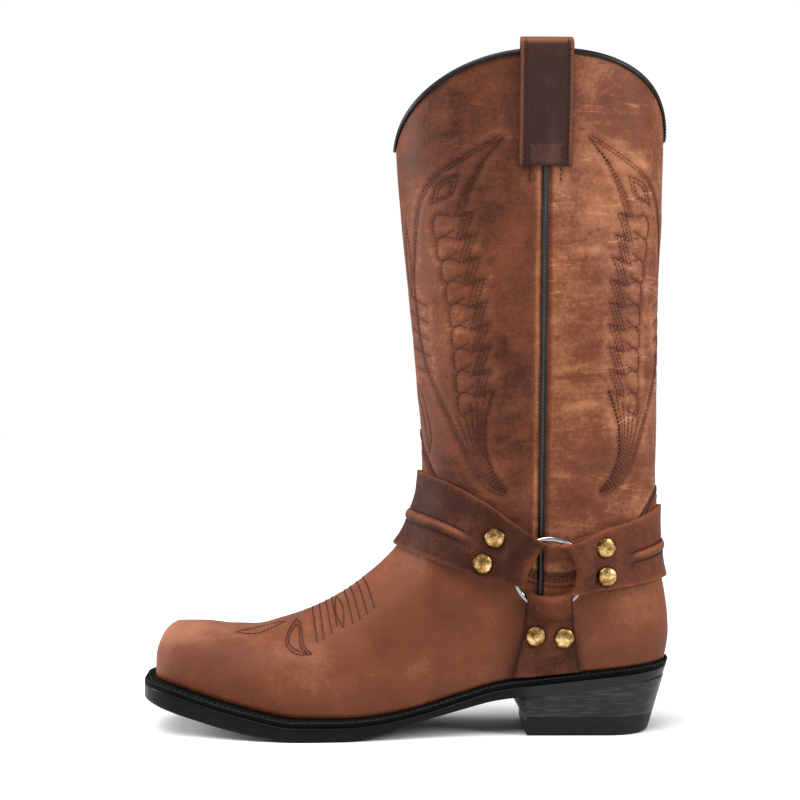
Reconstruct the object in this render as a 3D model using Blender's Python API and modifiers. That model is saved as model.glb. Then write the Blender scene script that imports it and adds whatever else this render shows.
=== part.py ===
"""Pull-on harness boot for a left foot: tall oiled-leather shaft, square toe, stacked heel.

Metres, +Z up. The toe points along -X, the outer (lateral) side faces -Y, and the origin lies on the
floor below the middle of the sole. Sizes and tables are in millimetres until a mesh is made of them.
"""

import math

import bmesh
import bpy
import numpy as np
from mathutils import Matrix, Vector

MM = 0.001
LATERAL = -1
MEDIAL = 1
SIDE_NAMES = {LATERAL: "lateral", MEDIAL: "medial"}

# Driving sizes
SOLE_LENGTH = 305.0
SOLE_BACK = SOLE_LENGTH / 2
LAST_BACK = 150.0
LAST_TIP = -146.0
TOE_SKEW = 0.05
WALL = 2.4
GAP = 0.3
UPPER_GAP = 0.55
VAMP_STEP = 1.0

# Sole and heel
WELT_HEIGHT = 5.0
WELT_SLOPE = 2.0
WELT_SEAT = 6.5
INSOLE_THICKNESS = 3.4
HEEL_SEAT_X = 62.0
HEEL_SEAT_SLOPE = 0.1045
HEEL_CAP_HEIGHT = 10.5
HEEL_BREAST_X = 67.5
HEEL_BREAST_BULGE = 8.5
HEEL_BREAST_BULGE_LOW = 1.8
HEEL_ROUND_X = 112.0
HEEL_FOOT_BACK = 139.8
HEEL_FOOT_HALF_WIDTH = 30.6
HEEL_BACK_LEAN = 0.305
HEEL_SIDE_LEAN = 0.115
HEEL_EDGE_BEVEL = 1.6

# Harness
STRAP_THICKNESS = 2.2
STRAP_GAP = 0.45
STRAP_LAYER_GAP = 0.3
RING_X = 80.0
RING_Z = 94.0
RING_RADIUS = 19.7
RING_WIRE_RADIUS = 1.9
WIRE_GAP = 0.5
BEAD_HEIGHT = 1.5
RIVET_RADIUS = 5.6
RIVET_HEIGHT = 2.9
RIVET_GAP = 0.9

# Collar, side seam and pull straps
COLLAR_RISE = 46.6
COLLAR_BACK_POWER = 2.44
COLLAR_FRONT_POWER = 1.95
COLLAR_DIP_ROUND = 0.06
DIP_BACK_POWER = 2.0
DIP_FRONT_POWER = 1.4
COLLAR_DIP_SCALE = math.hypot(1.0, COLLAR_DIP_ROUND) - COLLAR_DIP_ROUND
BINDING_THICKNESS = 1.1
BINDING_GAP = 0.6
BINDING_LEG = 3.0
SEAM_X_AT_RING = 75.3
SEAM_LEAN = 0.0097
PIPING_HALF_WIDTH = 2.1
PIPING_HEIGHT = 2.0
PIPING_LOW_Z = 81.6
PIPING_HIGH_Z = 380.0
PULL_STRAP_HALF_WIDTH = 14.8
PULL_STRAP_TOP_Z = 394.2
PULL_STRAP_HEM_Z = 321.6
PULL_STRAP_INNER_Z = 332.0
PULL_STRAP_THICKNESS = 2.2
PULL_STRAP_STANDOFF = 2.7


def table(names, *rows):
    """Columns by name, from rows that give one section or fold each."""
    return dict(zip(names.split(), np.array(rows, dtype=float).T))


# Breadths along the foot: share runs from the heel (0) to the toe (1)
FOOT = table(
    "share sole_lateral sole_medial last_lateral last_medial margin arch",
    (0.00, 33.0, 33.0, 31.5, 31.5, 2.2, 2.40),
    (0.10, 34.6, 34.6, 33.0, 33.0, 2.4, 2.40),
    (0.20, 35.4, 34.2, 34.3, 33.8, 2.8, 2.40),
    (0.30, 36.0, 31.6, 35.3, 33.2, 3.2, 2.30),
    (0.38, 37.6, 29.8, 36.4, 32.8, 3.6, 2.20),
    (0.46, 41.4, 31.4, 38.6, 33.4, 4.2, 2.10),
    (0.54, 47.0, 37.0, 42.2, 36.2, 4.8, 2.00),
    (0.62, 51.6, 45.0, 46.0, 40.8, 5.4, 2.00),
    (0.70, 53.2, 51.0, 47.8, 45.6, 5.8, 2.10),
    (0.77, 51.0, 53.0, 46.0, 47.4, 6.0, 2.25),
    (0.84, 46.0, 50.6, 40.8, 45.2, 6.2, 2.50),
    (0.91, 39.4, 45.2, 34.2, 40.0, 6.3, 2.80),
    (0.96, 35.0, 40.6, 29.4, 35.0, 6.4, 3.00),
    (1.00, 32.0, 37.4, 26.4, 32.0, 6.5, 3.00),
)

# Line where the upper meets the welt, and the underside of the outsole, in front of the heel seat
FEATHER = table(
    "x z",
    (-152.5, 32.6), (-146.0, 31.6), (-135.0, 28.9), (-117.0, 23.8), (-88.0, 17.2), (-62.0, 12.9),
    (-37.0, 12.8), (-15.0, 14.2), (7.0, 18.6), (30.0, 25.2), (50.0, 31.0), (HEEL_SEAT_X, 33.0),
)
TREAD = table(
    "x z",
    (-152.5, 20.0), (-140.0, 15.4), (-117.0, 9.1), (-93.0, 4.1), (-72.0, 1.1), (-60.0, 0.0),
    (-36.0, 0.0), (-25.0, 1.2), (-12.0, 4.0), (7.0, 9.5), (30.0, 15.6), (50.0, 20.6),
    (HEEL_SEAT_X, 22.2),
)

# Profile of toe, vamp, instep and shaft front, from the toe's featherline up to the collar
FRONT_LINE = table(
    "x z",
    (-146.0, 31.6), (-146.0, 43.0), (-144.2, 50.0), (-140.2, 57.2), (-133.0, 61.3), (-119.0, 61.1),
    (-101.0, 59.4), (-88.0, 59.5), (-74.0, 62.9), (-61.0, 67.3), (-48.0, 73.1), (-34.5, 81.0),
    (-21.0, 91.0), (-9.0, 102.0), (-0.5, 113.0), (5.0, 126.0), (8.6, 139.0), (9.8, 156.0),
    (8.4, 174.0), (6.6, 191.0), (3.7, 226.0), (0.2, 261.0), (-3.3, 296.0), (-6.0, 331.0),
    (-9.0, 392.0),
)
# Profile of counter and shaft back
BACK_LINE = table(
    "z x",
    (42.0, 150.0), (50.0, 151.5), (57.0, 152.2), (67.0, 151.8), (79.0, 150.2), (86.0, 149.0),
    (97.0, 146.7), (109.0, 145.3), (120.0, 144.8), (132.0, 145.0), (156.0, 145.2), (191.0, 145.6),
    (226.0, 145.9), (261.0, 146.7), (296.0, 148.4), (331.0, 149.4), (392.0, 150.6),
)
# Half breadth of the shaft by height
SHAFT = table(
    "z breadth",
    (55.0, 35.0), (90.0, 37.0), (115.0, 38.5), (140.0, 40.0), (165.0, 41.3), (200.0, 42.6),
    (240.0, 43.8), (290.0, 44.8), (392.0, 45.5),
)
# Rings that the upper's wall is drawn through: where each starts on the front profile (length along
# it), the height of its back point, how far it follows the featherline, its dip and its rise at the side
RINGS = table(
    "front back follow dip rise",
    (0.0, 42.0, 1.00, 0.0, 0.0),
    (12.0, 47.0, 0.94, 0.0, 0.0),
    (36.0, 55.0, 0.80, 0.0, 0.0),
    (60.0, 62.0, 0.62, 0.0, 0.0),
    (104.0, 72.0, 0.32, -2.0, 0.0),
    (152.0, 88.0, 0.10, -12.0, 0.0),
    (200.0, 113.0, 0.00, -33.0, 0.0),
    (247.5, 141.0, 0.00, -66.0, 0.0),
    (248.1, 141.6, 0.00, -66.0, 0.0),
    (305.0, 205.0, 0.00, -44.0, 6.0),
    (411.5, 342.5, 0.00, 0.0, COLLAR_RISE),
)
# Rows of mesh between one ring of the table and the next
RING_STEPS = (2, 4, 2, 3, 3, 3, 3, 1, 2, 4)
# The vamp's and counter's edge stands out from the shaft and fades over the rings below it
VAMP_EDGE_RING = 7
VAMP_STEP_FADE = 2.0
COLUMNS_AROUND = 40

# Straps by angle round the leg, 0 at the heel and 180 at the front: middle height and half width
FRONT_STRAP = table(
    "angle middle half",
    (88.0, 99.0, 13.2), (104.0, 107.0, 16.5), (114.0, 112.5, 18.5), (124.0, 117.0, 19.8),
    (140.0, 122.5, 21.0), (160.0, 126.5, 21.8), (180.0, 128.0, 22.0),
)
HEEL_STRAP = table(
    "angle middle half",
    (74.0, 97.4, 12.2), (62.0, 99.6, 16.2), (52.0, 101.6, 17.8), (42.0, 103.6, 18.6),
    (28.0, 106.2, 19.6), (14.0, 108.6, 20.4), (0.0, 109.6, 20.6),
)
# How a strap is laid: the way it leaves the ring (x, z), how straight its fold is, the angles of its under
# layer, its upper layer, the ramp at its end and the single layer beyond, and where its bead rises
FRONT_LAY = {
    "toward": (-0.922, 0.387), "straight": 0.7, "under": (119.0, 111.0, 104.0),
    "over": (104.0, 111.0, 119.0), "ramp": (126.0,), "single": (136.0, 147.0, 158.0, 169.0, 180.0),
    "bead": (122.0, 128.0),
}
HEEL_LAY = {
    "toward": (0.98, 0.19), "straight": 0.1, "under": (46.0, 54.0, 62.0),
    "over": (62.0, 54.0, 46.0), "ramp": (40.0,), "single": (32.0, 22.0, 11.0, 0.0),
    "bead": (44.0, 38.0),
}
# Side strap by height: middle along the boot and half width
SIDE_STRAP = table(
    "z middle half",
    (76.0, 79.8, 11.9), (66.0, 80.0, 13.5), (56.0, 79.9, 15.2), (46.0, 79.3, 17.2), (34.0, 78.6, 19.4),
)
SIDE_LAY = {
    "toward": (0.0, -1.0), "straight": 0.5, "under": (49.0, 58.0, 67.0), "over": (67.0, 58.0, 49.0),
    "single": (42.0, 34.0),
}
# Rivets seen from the side
RIVETS = {
    "front_upper": (50.0, 113.4),
    "front_lower": (42.4, 98.9),
    "heel_upper": (110.4, 108.2),
    "heel_lower": (111.8, 91.2),
    "side_front": (72.4, 58.0),
    "side_back": (88.6, 56.8),
}


def smooth_curve(stations, values):
    """A function that runs smoothly through the values and doesn't overshoot between them."""
    order = np.argsort(stations)
    at = np.asarray(stations, dtype=float)[order]
    value = np.asarray(values, dtype=float)[order]
    step = np.diff(at)
    slope = np.diff(value) / step
    product = slope[1:] * slope[:-1]
    total = np.where(product > 0, slope[1:] + slope[:-1], 1.0)
    inner = np.where(product > 0, 2 * product / total, 0.0)
    tangent = np.concatenate([slope[:1], inner, slope[-1:]])

    def evaluate(position):
        q = np.clip(position, at[0], at[-1])
        i = np.clip(np.searchsorted(at, q, side="right") - 1, 0, len(step) - 1)
        h = (q - at[i]) / step[i]
        rise = h * h * (3 - 2 * h)
        start = h * (1 - h) ** 2 * step[i] * tangent[i]
        end = h * h * (h - 1) * step[i] * tangent[i + 1]
        return value[i] * (1 - rise) + value[i + 1] * rise + start + end

    return evaluate


def smooth_step(low, high, value):
    share = np.clip((value - low) / (high - low), 0.0, 1.0)
    return share * share * (3 - 2 * share)


def rounded_end(distance, reach, power):
    """Share of the full breadth at a distance from a rounded end."""
    share = np.clip(distance / reach, 0.0, 1.0)
    return (1 - (1 - share) ** power) ** (1 / power)


foot_curve = {name: smooth_curve(FOOT["share"], FOOT[name]) for name in FOOT if name != "share"}
feather_curve = smooth_curve(FEATHER["x"], FEATHER["z"])
tread_curve = smooth_curve(TREAD["x"], TREAD["z"])
back_x = smooth_curve(BACK_LINE["z"], BACK_LINE["x"])
shaft_breadth = smooth_curve(SHAFT["z"], SHAFT["breadth"])

front_steps = np.hypot(np.diff(FRONT_LINE["x"]), np.diff(FRONT_LINE["z"]))
front_length = np.concatenate([[0.0], np.cumsum(front_steps)])
front_along_x = smooth_curve(front_length, FRONT_LINE["x"])
front_along_z = smooth_curve(front_length, FRONT_LINE["z"])

# The same front profile read as a height over the foot and as a depth of the shaft
INSTEP_START_X = -90.0
PROFILE_SAMPLES = np.linspace(0.0, front_length[-1], 1200)
profile_x = front_along_x(PROFILE_SAMPLES)
profile_z = front_along_z(PROFILE_SAMPLES)
throat = int(np.argmax(profile_x))
instep_start = int(np.searchsorted(profile_x[:throat], INSTEP_START_X))
TOP_SLOPE_BEHIND_THROAT = 8.0


def front_x(z):
    return np.interp(z, profile_z[instep_start:], profile_x[instep_start:])


def top_z(x):
    over_foot = np.interp(x, profile_x[:throat], profile_z[:throat])
    behind = np.maximum(x - profile_x[throat], 0.0) * TOP_SLOPE_BEHIND_THROAT
    return over_foot + behind


def seat_line(curve, x):
    """A sole line that runs straight over the heel seat."""
    seat = curve(HEEL_SEAT_X) + (x - HEEL_SEAT_X) * HEEL_SEAT_SLOPE
    return np.where(x > HEEL_SEAT_X, seat, curve(x))


def feather_z(x):
    return seat_line(feather_curve, x)


def tread_z(x):
    return seat_line(tread_curve, x)


SOLE_TOE_REACH = {LATERAL: 26.0, MEDIAL: 15.0}
SOLE_TOE_POWER = 3.2
LAST_TOE_REACH = {LATERAL: 22.0, MEDIAL: 14.0}
LAST_TOE_POWER = 3.0
HEEL_REACH = 38.0
HEEL_POWER = 2.3


def side_column(name, side):
    return foot_curve[f"{name}_{SIDE_NAMES[side]}"]


def sole_breadth(x, side):
    """Half breadth of the sole's outline, measured from the middle line."""
    share = (SOLE_BACK - x) / SOLE_LENGTH
    heel = rounded_end(SOLE_BACK - x, HEEL_REACH, HEEL_POWER)
    toe = rounded_end(SOLE_BACK + x, SOLE_TOE_REACH[side], SOLE_TOE_POWER)
    return side_column("sole", side)(share) * heel * toe


def last_share(x):
    return (LAST_BACK - x) / (LAST_BACK - LAST_TIP)


def last_ends(x, side):
    heel = rounded_end(LAST_BACK - x, HEEL_REACH, HEEL_POWER)
    toe = rounded_end(x - LAST_TIP, LAST_TOE_REACH[side], LAST_TOE_POWER)
    return heel * toe


def feather_breadth(x, side):
    """Half breadth of the upper where it meets the welt."""
    share = last_share(x)
    return (side_column("sole", side)(share) - foot_curve["margin"](share)) * last_ends(x, side)


WIDEST_LEVEL = 0.24
SHAFT_POWER = 2.2
ANKLE_BACK_Z = 84.0
ANKLE_FRONT_Z = 112.0
ANKLE_BAND = 27.0
COUNTER_REACH = (60.0, 140.0)
TOE_SKEW_REACH = (60.0, 146.0)


def foot_breadth(x, z, side):
    """Half breadth over the foot, from upright sections across the last."""
    follow_back = smooth_step(*COUNTER_REACH, x)
    level_x = x - (back_x(z) - LAST_BACK) * follow_back
    share = last_share(level_x)
    widest = side_column("last", side)(share)
    tuck = (side_column("sole", side)(share) - foot_curve["margin"](share)) / widest
    power = foot_curve["arch"](share)
    low = feather_z(x)
    height = np.clip((z - low) / (top_z(x) - low), 0.0, 1.0)
    wall = tuck + (1 - tuck) * np.sin(0.5 * math.pi * np.clip(height / WIDEST_LEVEL, 0.0, 1.0))
    over = np.clip((height - WIDEST_LEVEL) / (1 - WIDEST_LEVEL), 0.0, 1.0)
    arch = (1 - over ** power) ** (1 / power)
    return widest * last_ends(level_x, side) * np.where(height < WIDEST_LEVEL, wall, arch)


def leg_breadth(x, z):
    """Half breadth round the leg, from level sections of the shaft."""
    back = back_x(z)
    across = np.clip(np.abs(2 * (back - x) / (back - front_x(z)) - 1), 0.0, 1.0)
    return shaft_breadth(z) * (1 - across ** SHAFT_POWER) ** (1 / SHAFT_POWER)


def upper_breadth(x, z, side):
    """Half breadth of the upper at any place of its side view: foot below, leg above the ankle."""
    along = np.clip((LAST_BACK - x) / LAST_BACK, 0.0, 1.0)
    ankle_z = ANKLE_BACK_Z + (ANKLE_FRONT_Z - ANKLE_BACK_Z) * along
    leg = smooth_step(ankle_z - ANKLE_BAND, ankle_z + ANKLE_BAND, z)
    return foot_breadth(x, z, side) * (1 - leg) + leg_breadth(x, z) * leg


def skewed(points):
    """The toe's front edge turned a little, so that its inner corner leads."""
    moved = np.array(points, dtype=float)
    moved[..., 0] -= TOE_SKEW * moved[..., 1] * smooth_step(*TOE_SKEW_REACH, -moved[..., 0])
    return moved


def ring_points(front, back, follow, dip, rise, angles):
    """One ring of the upper: from the heel round the medial side to the front and back again."""
    along = (1 - np.cos(angles)) / 2
    bulge = np.abs(np.cos(angles))
    x = back_x(back) + (front_along_x(front) - back_x(back)) * along
    chord = back + (front_along_z(front) - back) * along
    base_x = LAST_BACK + (LAST_TIP - LAST_BACK) * along
    base_chord = feather_z(LAST_BACK) + (feather_z(LAST_TIP) - feather_z(LAST_BACK)) * along
    power = np.where(along < 0.5, COLLAR_BACK_POWER, COLLAR_FRONT_POWER)
    scallop = np.clip(1 - bulge ** power, 0.0, 1.0) ** (1 / power)
    steep = np.where(along < 0.5, DIP_BACK_POWER, DIP_FRONT_POWER)
    scallop = (np.hypot(scallop, COLLAR_DIP_ROUND) - COLLAR_DIP_ROUND) / COLLAR_DIP_SCALE
    dipped = dip * np.abs(np.sin(angles)) ** steep
    z = chord + follow * (feather_z(base_x) - base_chord) + dipped + rise * scallop
    medial = upper_breadth(x, z, MEDIAL)
    lateral = -upper_breadth(x, z, LATERAL)
    y = np.where(np.sin(angles) >= 0, medial, lateral)
    return np.stack([x, y, z], axis=-1)


def ring_values(position):
    """The ring table's values at a fractional row."""
    rows = np.arange(len(RINGS["front"]))
    return {name: np.interp(position, rows, column) for name, column in RINGS.items()}


def leg_points(angle, z, side, out):
    """Points of the leg's surface by angle (degrees) and height, moved out along the normal."""
    def place(turn, height):
        back = back_x(height)
        x = back + (front_x(height) - back) * (1 - np.cos(turn)) / 2
        return np.stack([x, side * upper_breadth(x, height, side), height], axis=-1)

    turn = np.radians(np.clip(angle, 1.0, 179.0))
    height = np.asarray(z, dtype=float)
    nudge = 0.02
    lift = 0.5
    across = place(turn + nudge, height) - place(turn - nudge, height)
    upward = place(turn, height + lift) - place(turn, height - lift)
    normal = side * np.cross(across, upward)
    normal /= np.linalg.norm(normal, axis=-1, keepdims=True)
    exact = place(np.radians(angle), height)
    at_end = (np.asarray(angle) <= 1.0) | (np.asarray(angle) >= 179.0)
    flat = normal * np.array([1.0, 0.0, 1.0])
    flat /= np.linalg.norm(flat, axis=-1, keepdims=True)
    normal = np.where(at_end[..., None], flat, normal)
    return exact + normal * np.asarray(out, dtype=float)[..., None]


def side_points(x, z, side, out):
    """Points of the upper's side by their place in the side view, moved out along the normal."""
    step = 0.5
    y = upper_breadth(x, z, side)
    slope_x = (upper_breadth(x + step, z, side) - upper_breadth(x - step, z, side)) / (2 * step)
    slope_z = (upper_breadth(x, z + step, side) - upper_breadth(x, z - step, side)) / (2 * step)
    normal = np.stack([-slope_x, side * np.ones_like(y), -slope_z], axis=-1)
    normal /= np.linalg.norm(normal, axis=-1, keepdims=True)
    base = np.stack([np.broadcast_to(x, y.shape), side * y, np.broadcast_to(z, y.shape)], axis=-1)
    return base + normal * np.asarray(out, dtype=float)[..., None], normal


def clear_scene():
    for old in list(bpy.data.objects):
        bpy.data.objects.remove(old, do_unlink=True)


def make_collection(name):
    collection = bpy.data.collections.new(name)
    bpy.context.scene.collection.children.link(collection)
    return collection


def make_material(name, color, roughness, metallic=0.0):
    material = bpy.data.materials.new(name)
    material.use_nodes = True
    shader = material.node_tree.nodes["Principled BSDF"]
    shader.inputs["Base Color"].default_value = (*color, 1.0)
    shader.inputs["Roughness"].default_value = roughness
    shader.inputs["Metallic"].default_value = metallic
    material.diffuse_color = (*color, 1.0)
    return material


def skin_object(name, points, material, collection, capped=False):
    """A mesh through a grid of points (mm); edges of the grid that meet are welded into one."""
    rows, columns = points.shape[:2]
    bm = bmesh.new()
    bmesh.ops.create_grid(bm, x_segments=columns - 1, y_segments=rows - 1, size=1.0)
    bm.verts.ensure_lookup_table()
    for vert, place in zip(bm.verts, points.reshape(-1, 3)):
        vert.co = Vector(place) * MM
    bmesh.ops.remove_doubles(bm, verts=bm.verts, dist=0.00001)
    if capped:
        open_edges = [edge for edge in bm.edges if edge.is_boundary]
        bmesh.ops.holes_fill(bm, edges=open_edges)
        bmesh.ops.recalc_face_normals(bm, faces=bm.faces)
    return mesh_object(name, bm, material, collection)


def mesh_object(name, bm, material, collection):
    mesh = bpy.data.meshes.new(name)
    bm.to_mesh(mesh)
    bm.free()
    mesh.materials.append(material)
    piece = bpy.data.objects.new(name, mesh)
    collection.objects.link(piece)
    mesh.shade_smooth()
    mesh.set_sharp_from_angle(angle=math.radians(40))
    return piece


def thicken(piece, thickness, offset):
    wall = piece.modifiers.new("wall", "SOLIDIFY")
    wall.thickness = thickness * MM
    wall.offset = offset
    return piece


def closed(loops):
    """Rings of points with the first point repeated at the end, so that the skin closes."""
    return np.concatenate([loops, loops[:, :1]], axis=1)


def build_upper(material, collection):
    positions = [0.0]
    for row, steps in enumerate(RING_STEPS):
        positions += [row + (k + 1) / steps for k in range(steps)]
    angles = np.linspace(0.0, 2 * math.pi, COLUMNS_AROUND + 1)
    rows = []
    for position in positions:
        rows.append(ring_points(angles=angles, **ring_values(position)))
    points = np.array(rows)
    across = np.gradient(points, axis=1)
    across[:, 0] = across[:, -1] = points[:, 1] - points[:, -2]
    upward = np.gradient(points, axis=0)
    normal = np.cross(across, upward)
    normal /= np.maximum(np.linalg.norm(normal, axis=-1, keepdims=True), 1e-9)
    below_edge = VAMP_EDGE_RING - np.array(positions)
    step = np.where(below_edge >= 0, VAMP_STEP * np.clip(1 - below_edge / VAMP_STEP_FADE, 0.0, 1.0), 0.0)
    points = points + normal * step[:, None, None]
    points[:, -1] = points[:, 0]
    upper = skin_object("upper", skewed(points), material, collection)
    return thicken(upper, WALL, -1.0)


SOLE_STATIONS = 42
SOLE_END_TRIM = 0.022
OUTSOLE_EDGE = 1.2


def lengthwise_stations(back, tip, count):
    """Places along the foot, close together at both ends."""
    turn = np.linspace(SOLE_END_TRIM * math.pi, (1 - SOLE_END_TRIM) * math.pi, count)
    return back + (tip - back) * (1 - np.cos(turn)) / 2


def leaned(x, y, drop):
    """A place on the sole's edge at a drop below the featherline: round the heel the edge leans in."""
    back = HEEL_BACK_LEAN * drop * smooth_step(HEEL_ROUND_X, SOLE_BACK, x)
    side = HEEL_SIDE_LEAN * drop * smooth_step(HEEL_SEAT_X, HEEL_ROUND_X, x)
    return x - back, np.sign(y) * (np.abs(y) - side)


def build_outsole(material, collection):
    stations = lengthwise_stations(SOLE_BACK, -SOLE_BACK, SOLE_STATIONS)
    depth = feather_z(stations) - tread_z(stations)
    top = WELT_HEIGHT + GAP
    corners = []
    for side in (LATERAL, MEDIAL):
        edge = side * sole_breadth(stations, side)
        x, y = leaned(stations, edge, depth)
        rim_x, rim_y = leaned(stations, edge, top)
        wall = [
            (x, y - side * OUTSOLE_EDGE, tread_z(x)), (x, y, tread_z(x) + OUTSOLE_EDGE),
            (rim_x, rim_y, feather_z(rim_x) - top),
        ]
        corners += wall if side == LATERAL else wall[::-1]
    loops = np.stack([np.stack(corner, axis=-1) for corner in corners], axis=1)
    return skin_object("outsole", closed(skewed(loops)), material, collection, capped=True)


WELT_STATIONS = 64
WELT_BEAD = 1.6
WELT_INSET = 0.4


def build_welt(material, collection):
    turn = np.linspace(0.0, 2 * math.pi, WELT_STATIONS, endpoint=False) + math.pi / WELT_STATIONS
    along = (1 - np.cos(turn)) / 2
    side_sign = np.where(np.sin(turn) > 0, MEDIAL, LATERAL)

    def edge(back, tip, breadth, inset):
        x = back - inset + (tip - back + 2 * inset) * along
        reach = np.where(side_sign > 0, breadth(x, MEDIAL), breadth(x, LATERAL))
        return x, side_sign * reach

    def outer(x, side):
        return sole_breadth(x, side) - WELT_INSET

    def seat(x, side):
        return feather_breadth(x, side) + WELT_BEAD

    def inner(x, side):
        return np.maximum(feather_breadth(x, side) - WELT_SEAT, 0.0)

    outer_x, outer_y = edge(SOLE_BACK, -SOLE_BACK, outer, WELT_INSET)
    seat_x, seat_y = edge(LAST_BACK, LAST_TIP, seat, -WELT_BEAD)
    inner_x, inner_y = edge(LAST_BACK, LAST_TIP, inner, WELT_SEAT)
    corners = [
        (*leaned(outer_x, outer_y, WELT_HEIGHT), -WELT_HEIGHT),
        (*leaned(outer_x, outer_y, WELT_SLOPE), -WELT_SLOPE), (seat_x, seat_y, -UPPER_GAP),
        (inner_x, inner_y, -UPPER_GAP), (inner_x, inner_y, -WELT_HEIGHT),
    ]
    loops = np.stack([np.stack([x, y, feather_z(x) + drop], axis=-1) for x, y, drop in corners], axis=1)
    loops = np.concatenate([loops, loops[:1]], axis=0)
    return skin_object("welt", closed(skewed(loops)), material, collection, capped=True)


INSOLE_STATIONS = 24
INSOLE_CLEARANCE = 0.7
INSOLE_END_TRIM = 1.4


def build_insole(material, collection):
    inset = WALL + INSOLE_CLEARANCE
    x = lengthwise_stations(LAST_BACK - inset, LAST_TIP + inset, INSOLE_STATIONS)
    length = LAST_TIP - LAST_BACK
    stretch = LAST_BACK + (x - LAST_BACK + inset) * length / (length + 2 * inset)

    def edge(side):
        trim = inset * np.clip(last_ends(stretch, side) * INSOLE_END_TRIM, 0.0, 1.0)
        return side * (feather_breadth(stretch, side) - trim)

    lateral = edge(LATERAL)
    medial = edge(MEDIAL)
    low = feather_z(x) + GAP
    high = low + INSOLE_THICKNESS
    corners = [(lateral, low), (lateral, high), (medial, high), (medial, low)]
    loops = np.stack([np.stack([x, y, z], axis=-1) for y, z in corners], axis=1)
    return skin_object("insole", closed(skewed(loops)), material, collection, capped=True)


HEEL_QUARTER_POINTS = 8
HEEL_BREAST_POINTS = 5


def heel_outline(z, inset, bulge):
    """D-shaped outline of the heel at a height: round back, straight sides, breast in front."""
    back = HEEL_FOOT_BACK + HEEL_BACK_LEAN * z - inset
    half = HEEL_FOOT_HALF_WIDTH + HEEL_SIDE_LEAN * z - inset
    turn = np.linspace(-0.5 * math.pi, 0.5 * math.pi, 2 * HEEL_QUARTER_POINTS + 1)
    round_x = HEEL_ROUND_X + (back - HEEL_ROUND_X) * np.abs(np.cos(turn)) ** (2 / HEEL_POWER)
    round_y = half * np.sign(turn) * np.abs(np.sin(turn)) ** (2 / HEEL_POWER)
    breast_y = np.linspace(half, -half, HEEL_BREAST_POINTS)
    breast_x = HEEL_BREAST_X + inset - bulge * (1 - (breast_y / half) ** 2)
    x = np.concatenate([round_x, breast_x])
    y = np.concatenate([round_y, breast_y])
    return x, y


def build_heel_stack(material, collection):
    low = HEEL_CAP_HEIGHT + GAP
    x, y = heel_outline(low, 0.0, HEEL_BREAST_BULGE_LOW)
    bottom = np.stack([x, y, np.full_like(x, low)], axis=-1)
    x, y = heel_outline(float(tread_z(HEEL_ROUND_X)), 0.0, HEEL_BREAST_BULGE)
    rise = tread_z(x) - tread_z(HEEL_ROUND_X)
    x = x + rise * HEEL_BACK_LEAN * smooth_step(HEEL_ROUND_X, SOLE_BACK, x)
    top = np.stack([x, y, tread_z(x) - GAP], axis=-1)
    return skin_object("heel_stack", closed(np.array([bottom, top])), material, collection, capped=True)


def build_heel_cap(material, collection):
    levels = ((0.0, HEEL_EDGE_BEVEL), (HEEL_EDGE_BEVEL, 0.0), (HEEL_CAP_HEIGHT, 0.0))
    loops = []
    for z, inset in levels:
        x, y = heel_outline(z, inset, 0.0)
        loops.append(np.stack([x, y, np.full_like(x, z)], axis=-1))
    return skin_object("heel_cap", closed(np.array(loops)), material, collection, capped=True)


# How far below the collar, in rows of the ring table, the wall is probed for its direction
BINDING_PROBE = 0.03


def build_collar_binding(material, collection):
    """A folded strip over the collar's edge: two legs and a top, all the way round."""
    angles = np.linspace(0.0, 2 * math.pi, COLUMNS_AROUND, endpoint=False)
    last_row = len(RINGS["front"]) - 1
    edge = ring_points(angles=angles, **ring_values(last_row))
    below = ring_points(angles=angles, **ring_values(last_row - BINDING_PROBE))
    along = np.roll(edge, -1, axis=0) - np.roll(edge, 1, axis=0)
    along /= np.linalg.norm(along, axis=-1, keepdims=True)
    outward = np.cross(along, edge - below)
    outward /= np.linalg.norm(outward, axis=-1, keepdims=True)
    upward = np.cross(outward, along)
    near = BINDING_GAP
    far = BINDING_GAP + BINDING_THICKNESS
    corners = [
        (far, -BINDING_LEG), (far, near), (0.0, far), (-WALL, far), (-WALL - far, near),
        (-WALL - far, -BINDING_LEG), (-WALL - near, -BINDING_LEG), (-WALL - near, near), (near, near),
        (near, -BINDING_LEG),
    ]
    loops = np.stack([edge + outward * out + upward * up for out, up in corners], axis=1)
    loops = np.concatenate([loops, loops[:1]], axis=0)
    return skin_object("collar_binding", closed(loops), material, collection, capped=True)


PIPING_STATIONS = 16
PIPING_STEP_Z = (94.0, 104.0)
PIPING_SECTION = ((-1.0, 0.0), (-0.85, 0.55), (-0.35, 1.0), (0.35, 1.0), (0.85, 0.55), (1.0, 0.0))


def seam_x(z):
    return SEAM_X_AT_RING + (z - RING_Z) * SEAM_LEAN


def build_side_piping(side, material, collection):
    z = np.linspace(PIPING_LOW_Z, PIPING_HIGH_Z, PIPING_STATIONS)
    over_vamp = VAMP_STEP * (1 - smooth_step(*PIPING_STEP_Z, z))
    loops = []
    for across, height in PIPING_SECTION:
        out = GAP + over_vamp + PIPING_HEIGHT * height
        loops.append(side_points(seam_x(z) + across * PIPING_HALF_WIDTH, z, side, out)[0])
    name = f"side_piping_{SIDE_NAMES[side]}"
    return skin_object(name, closed(np.stack(loops, axis=1)), material, collection, capped=True)


PULL_STRAP_COLUMNS = np.array((-1.0, -0.55, -0.24, 0.0, 0.24, 0.55, 1.0))
PULL_STRAP_BEND_STEPS = 5
PULL_STRAP_OUTER_ROWS = 5
PULL_STRAP_INNER_ROWS = 3
PULL_STRAP_HEM_GAP = 0.5
PIPING_BUMP_WIDTH = 5.0
BINDING_REACH = 16.0


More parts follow.
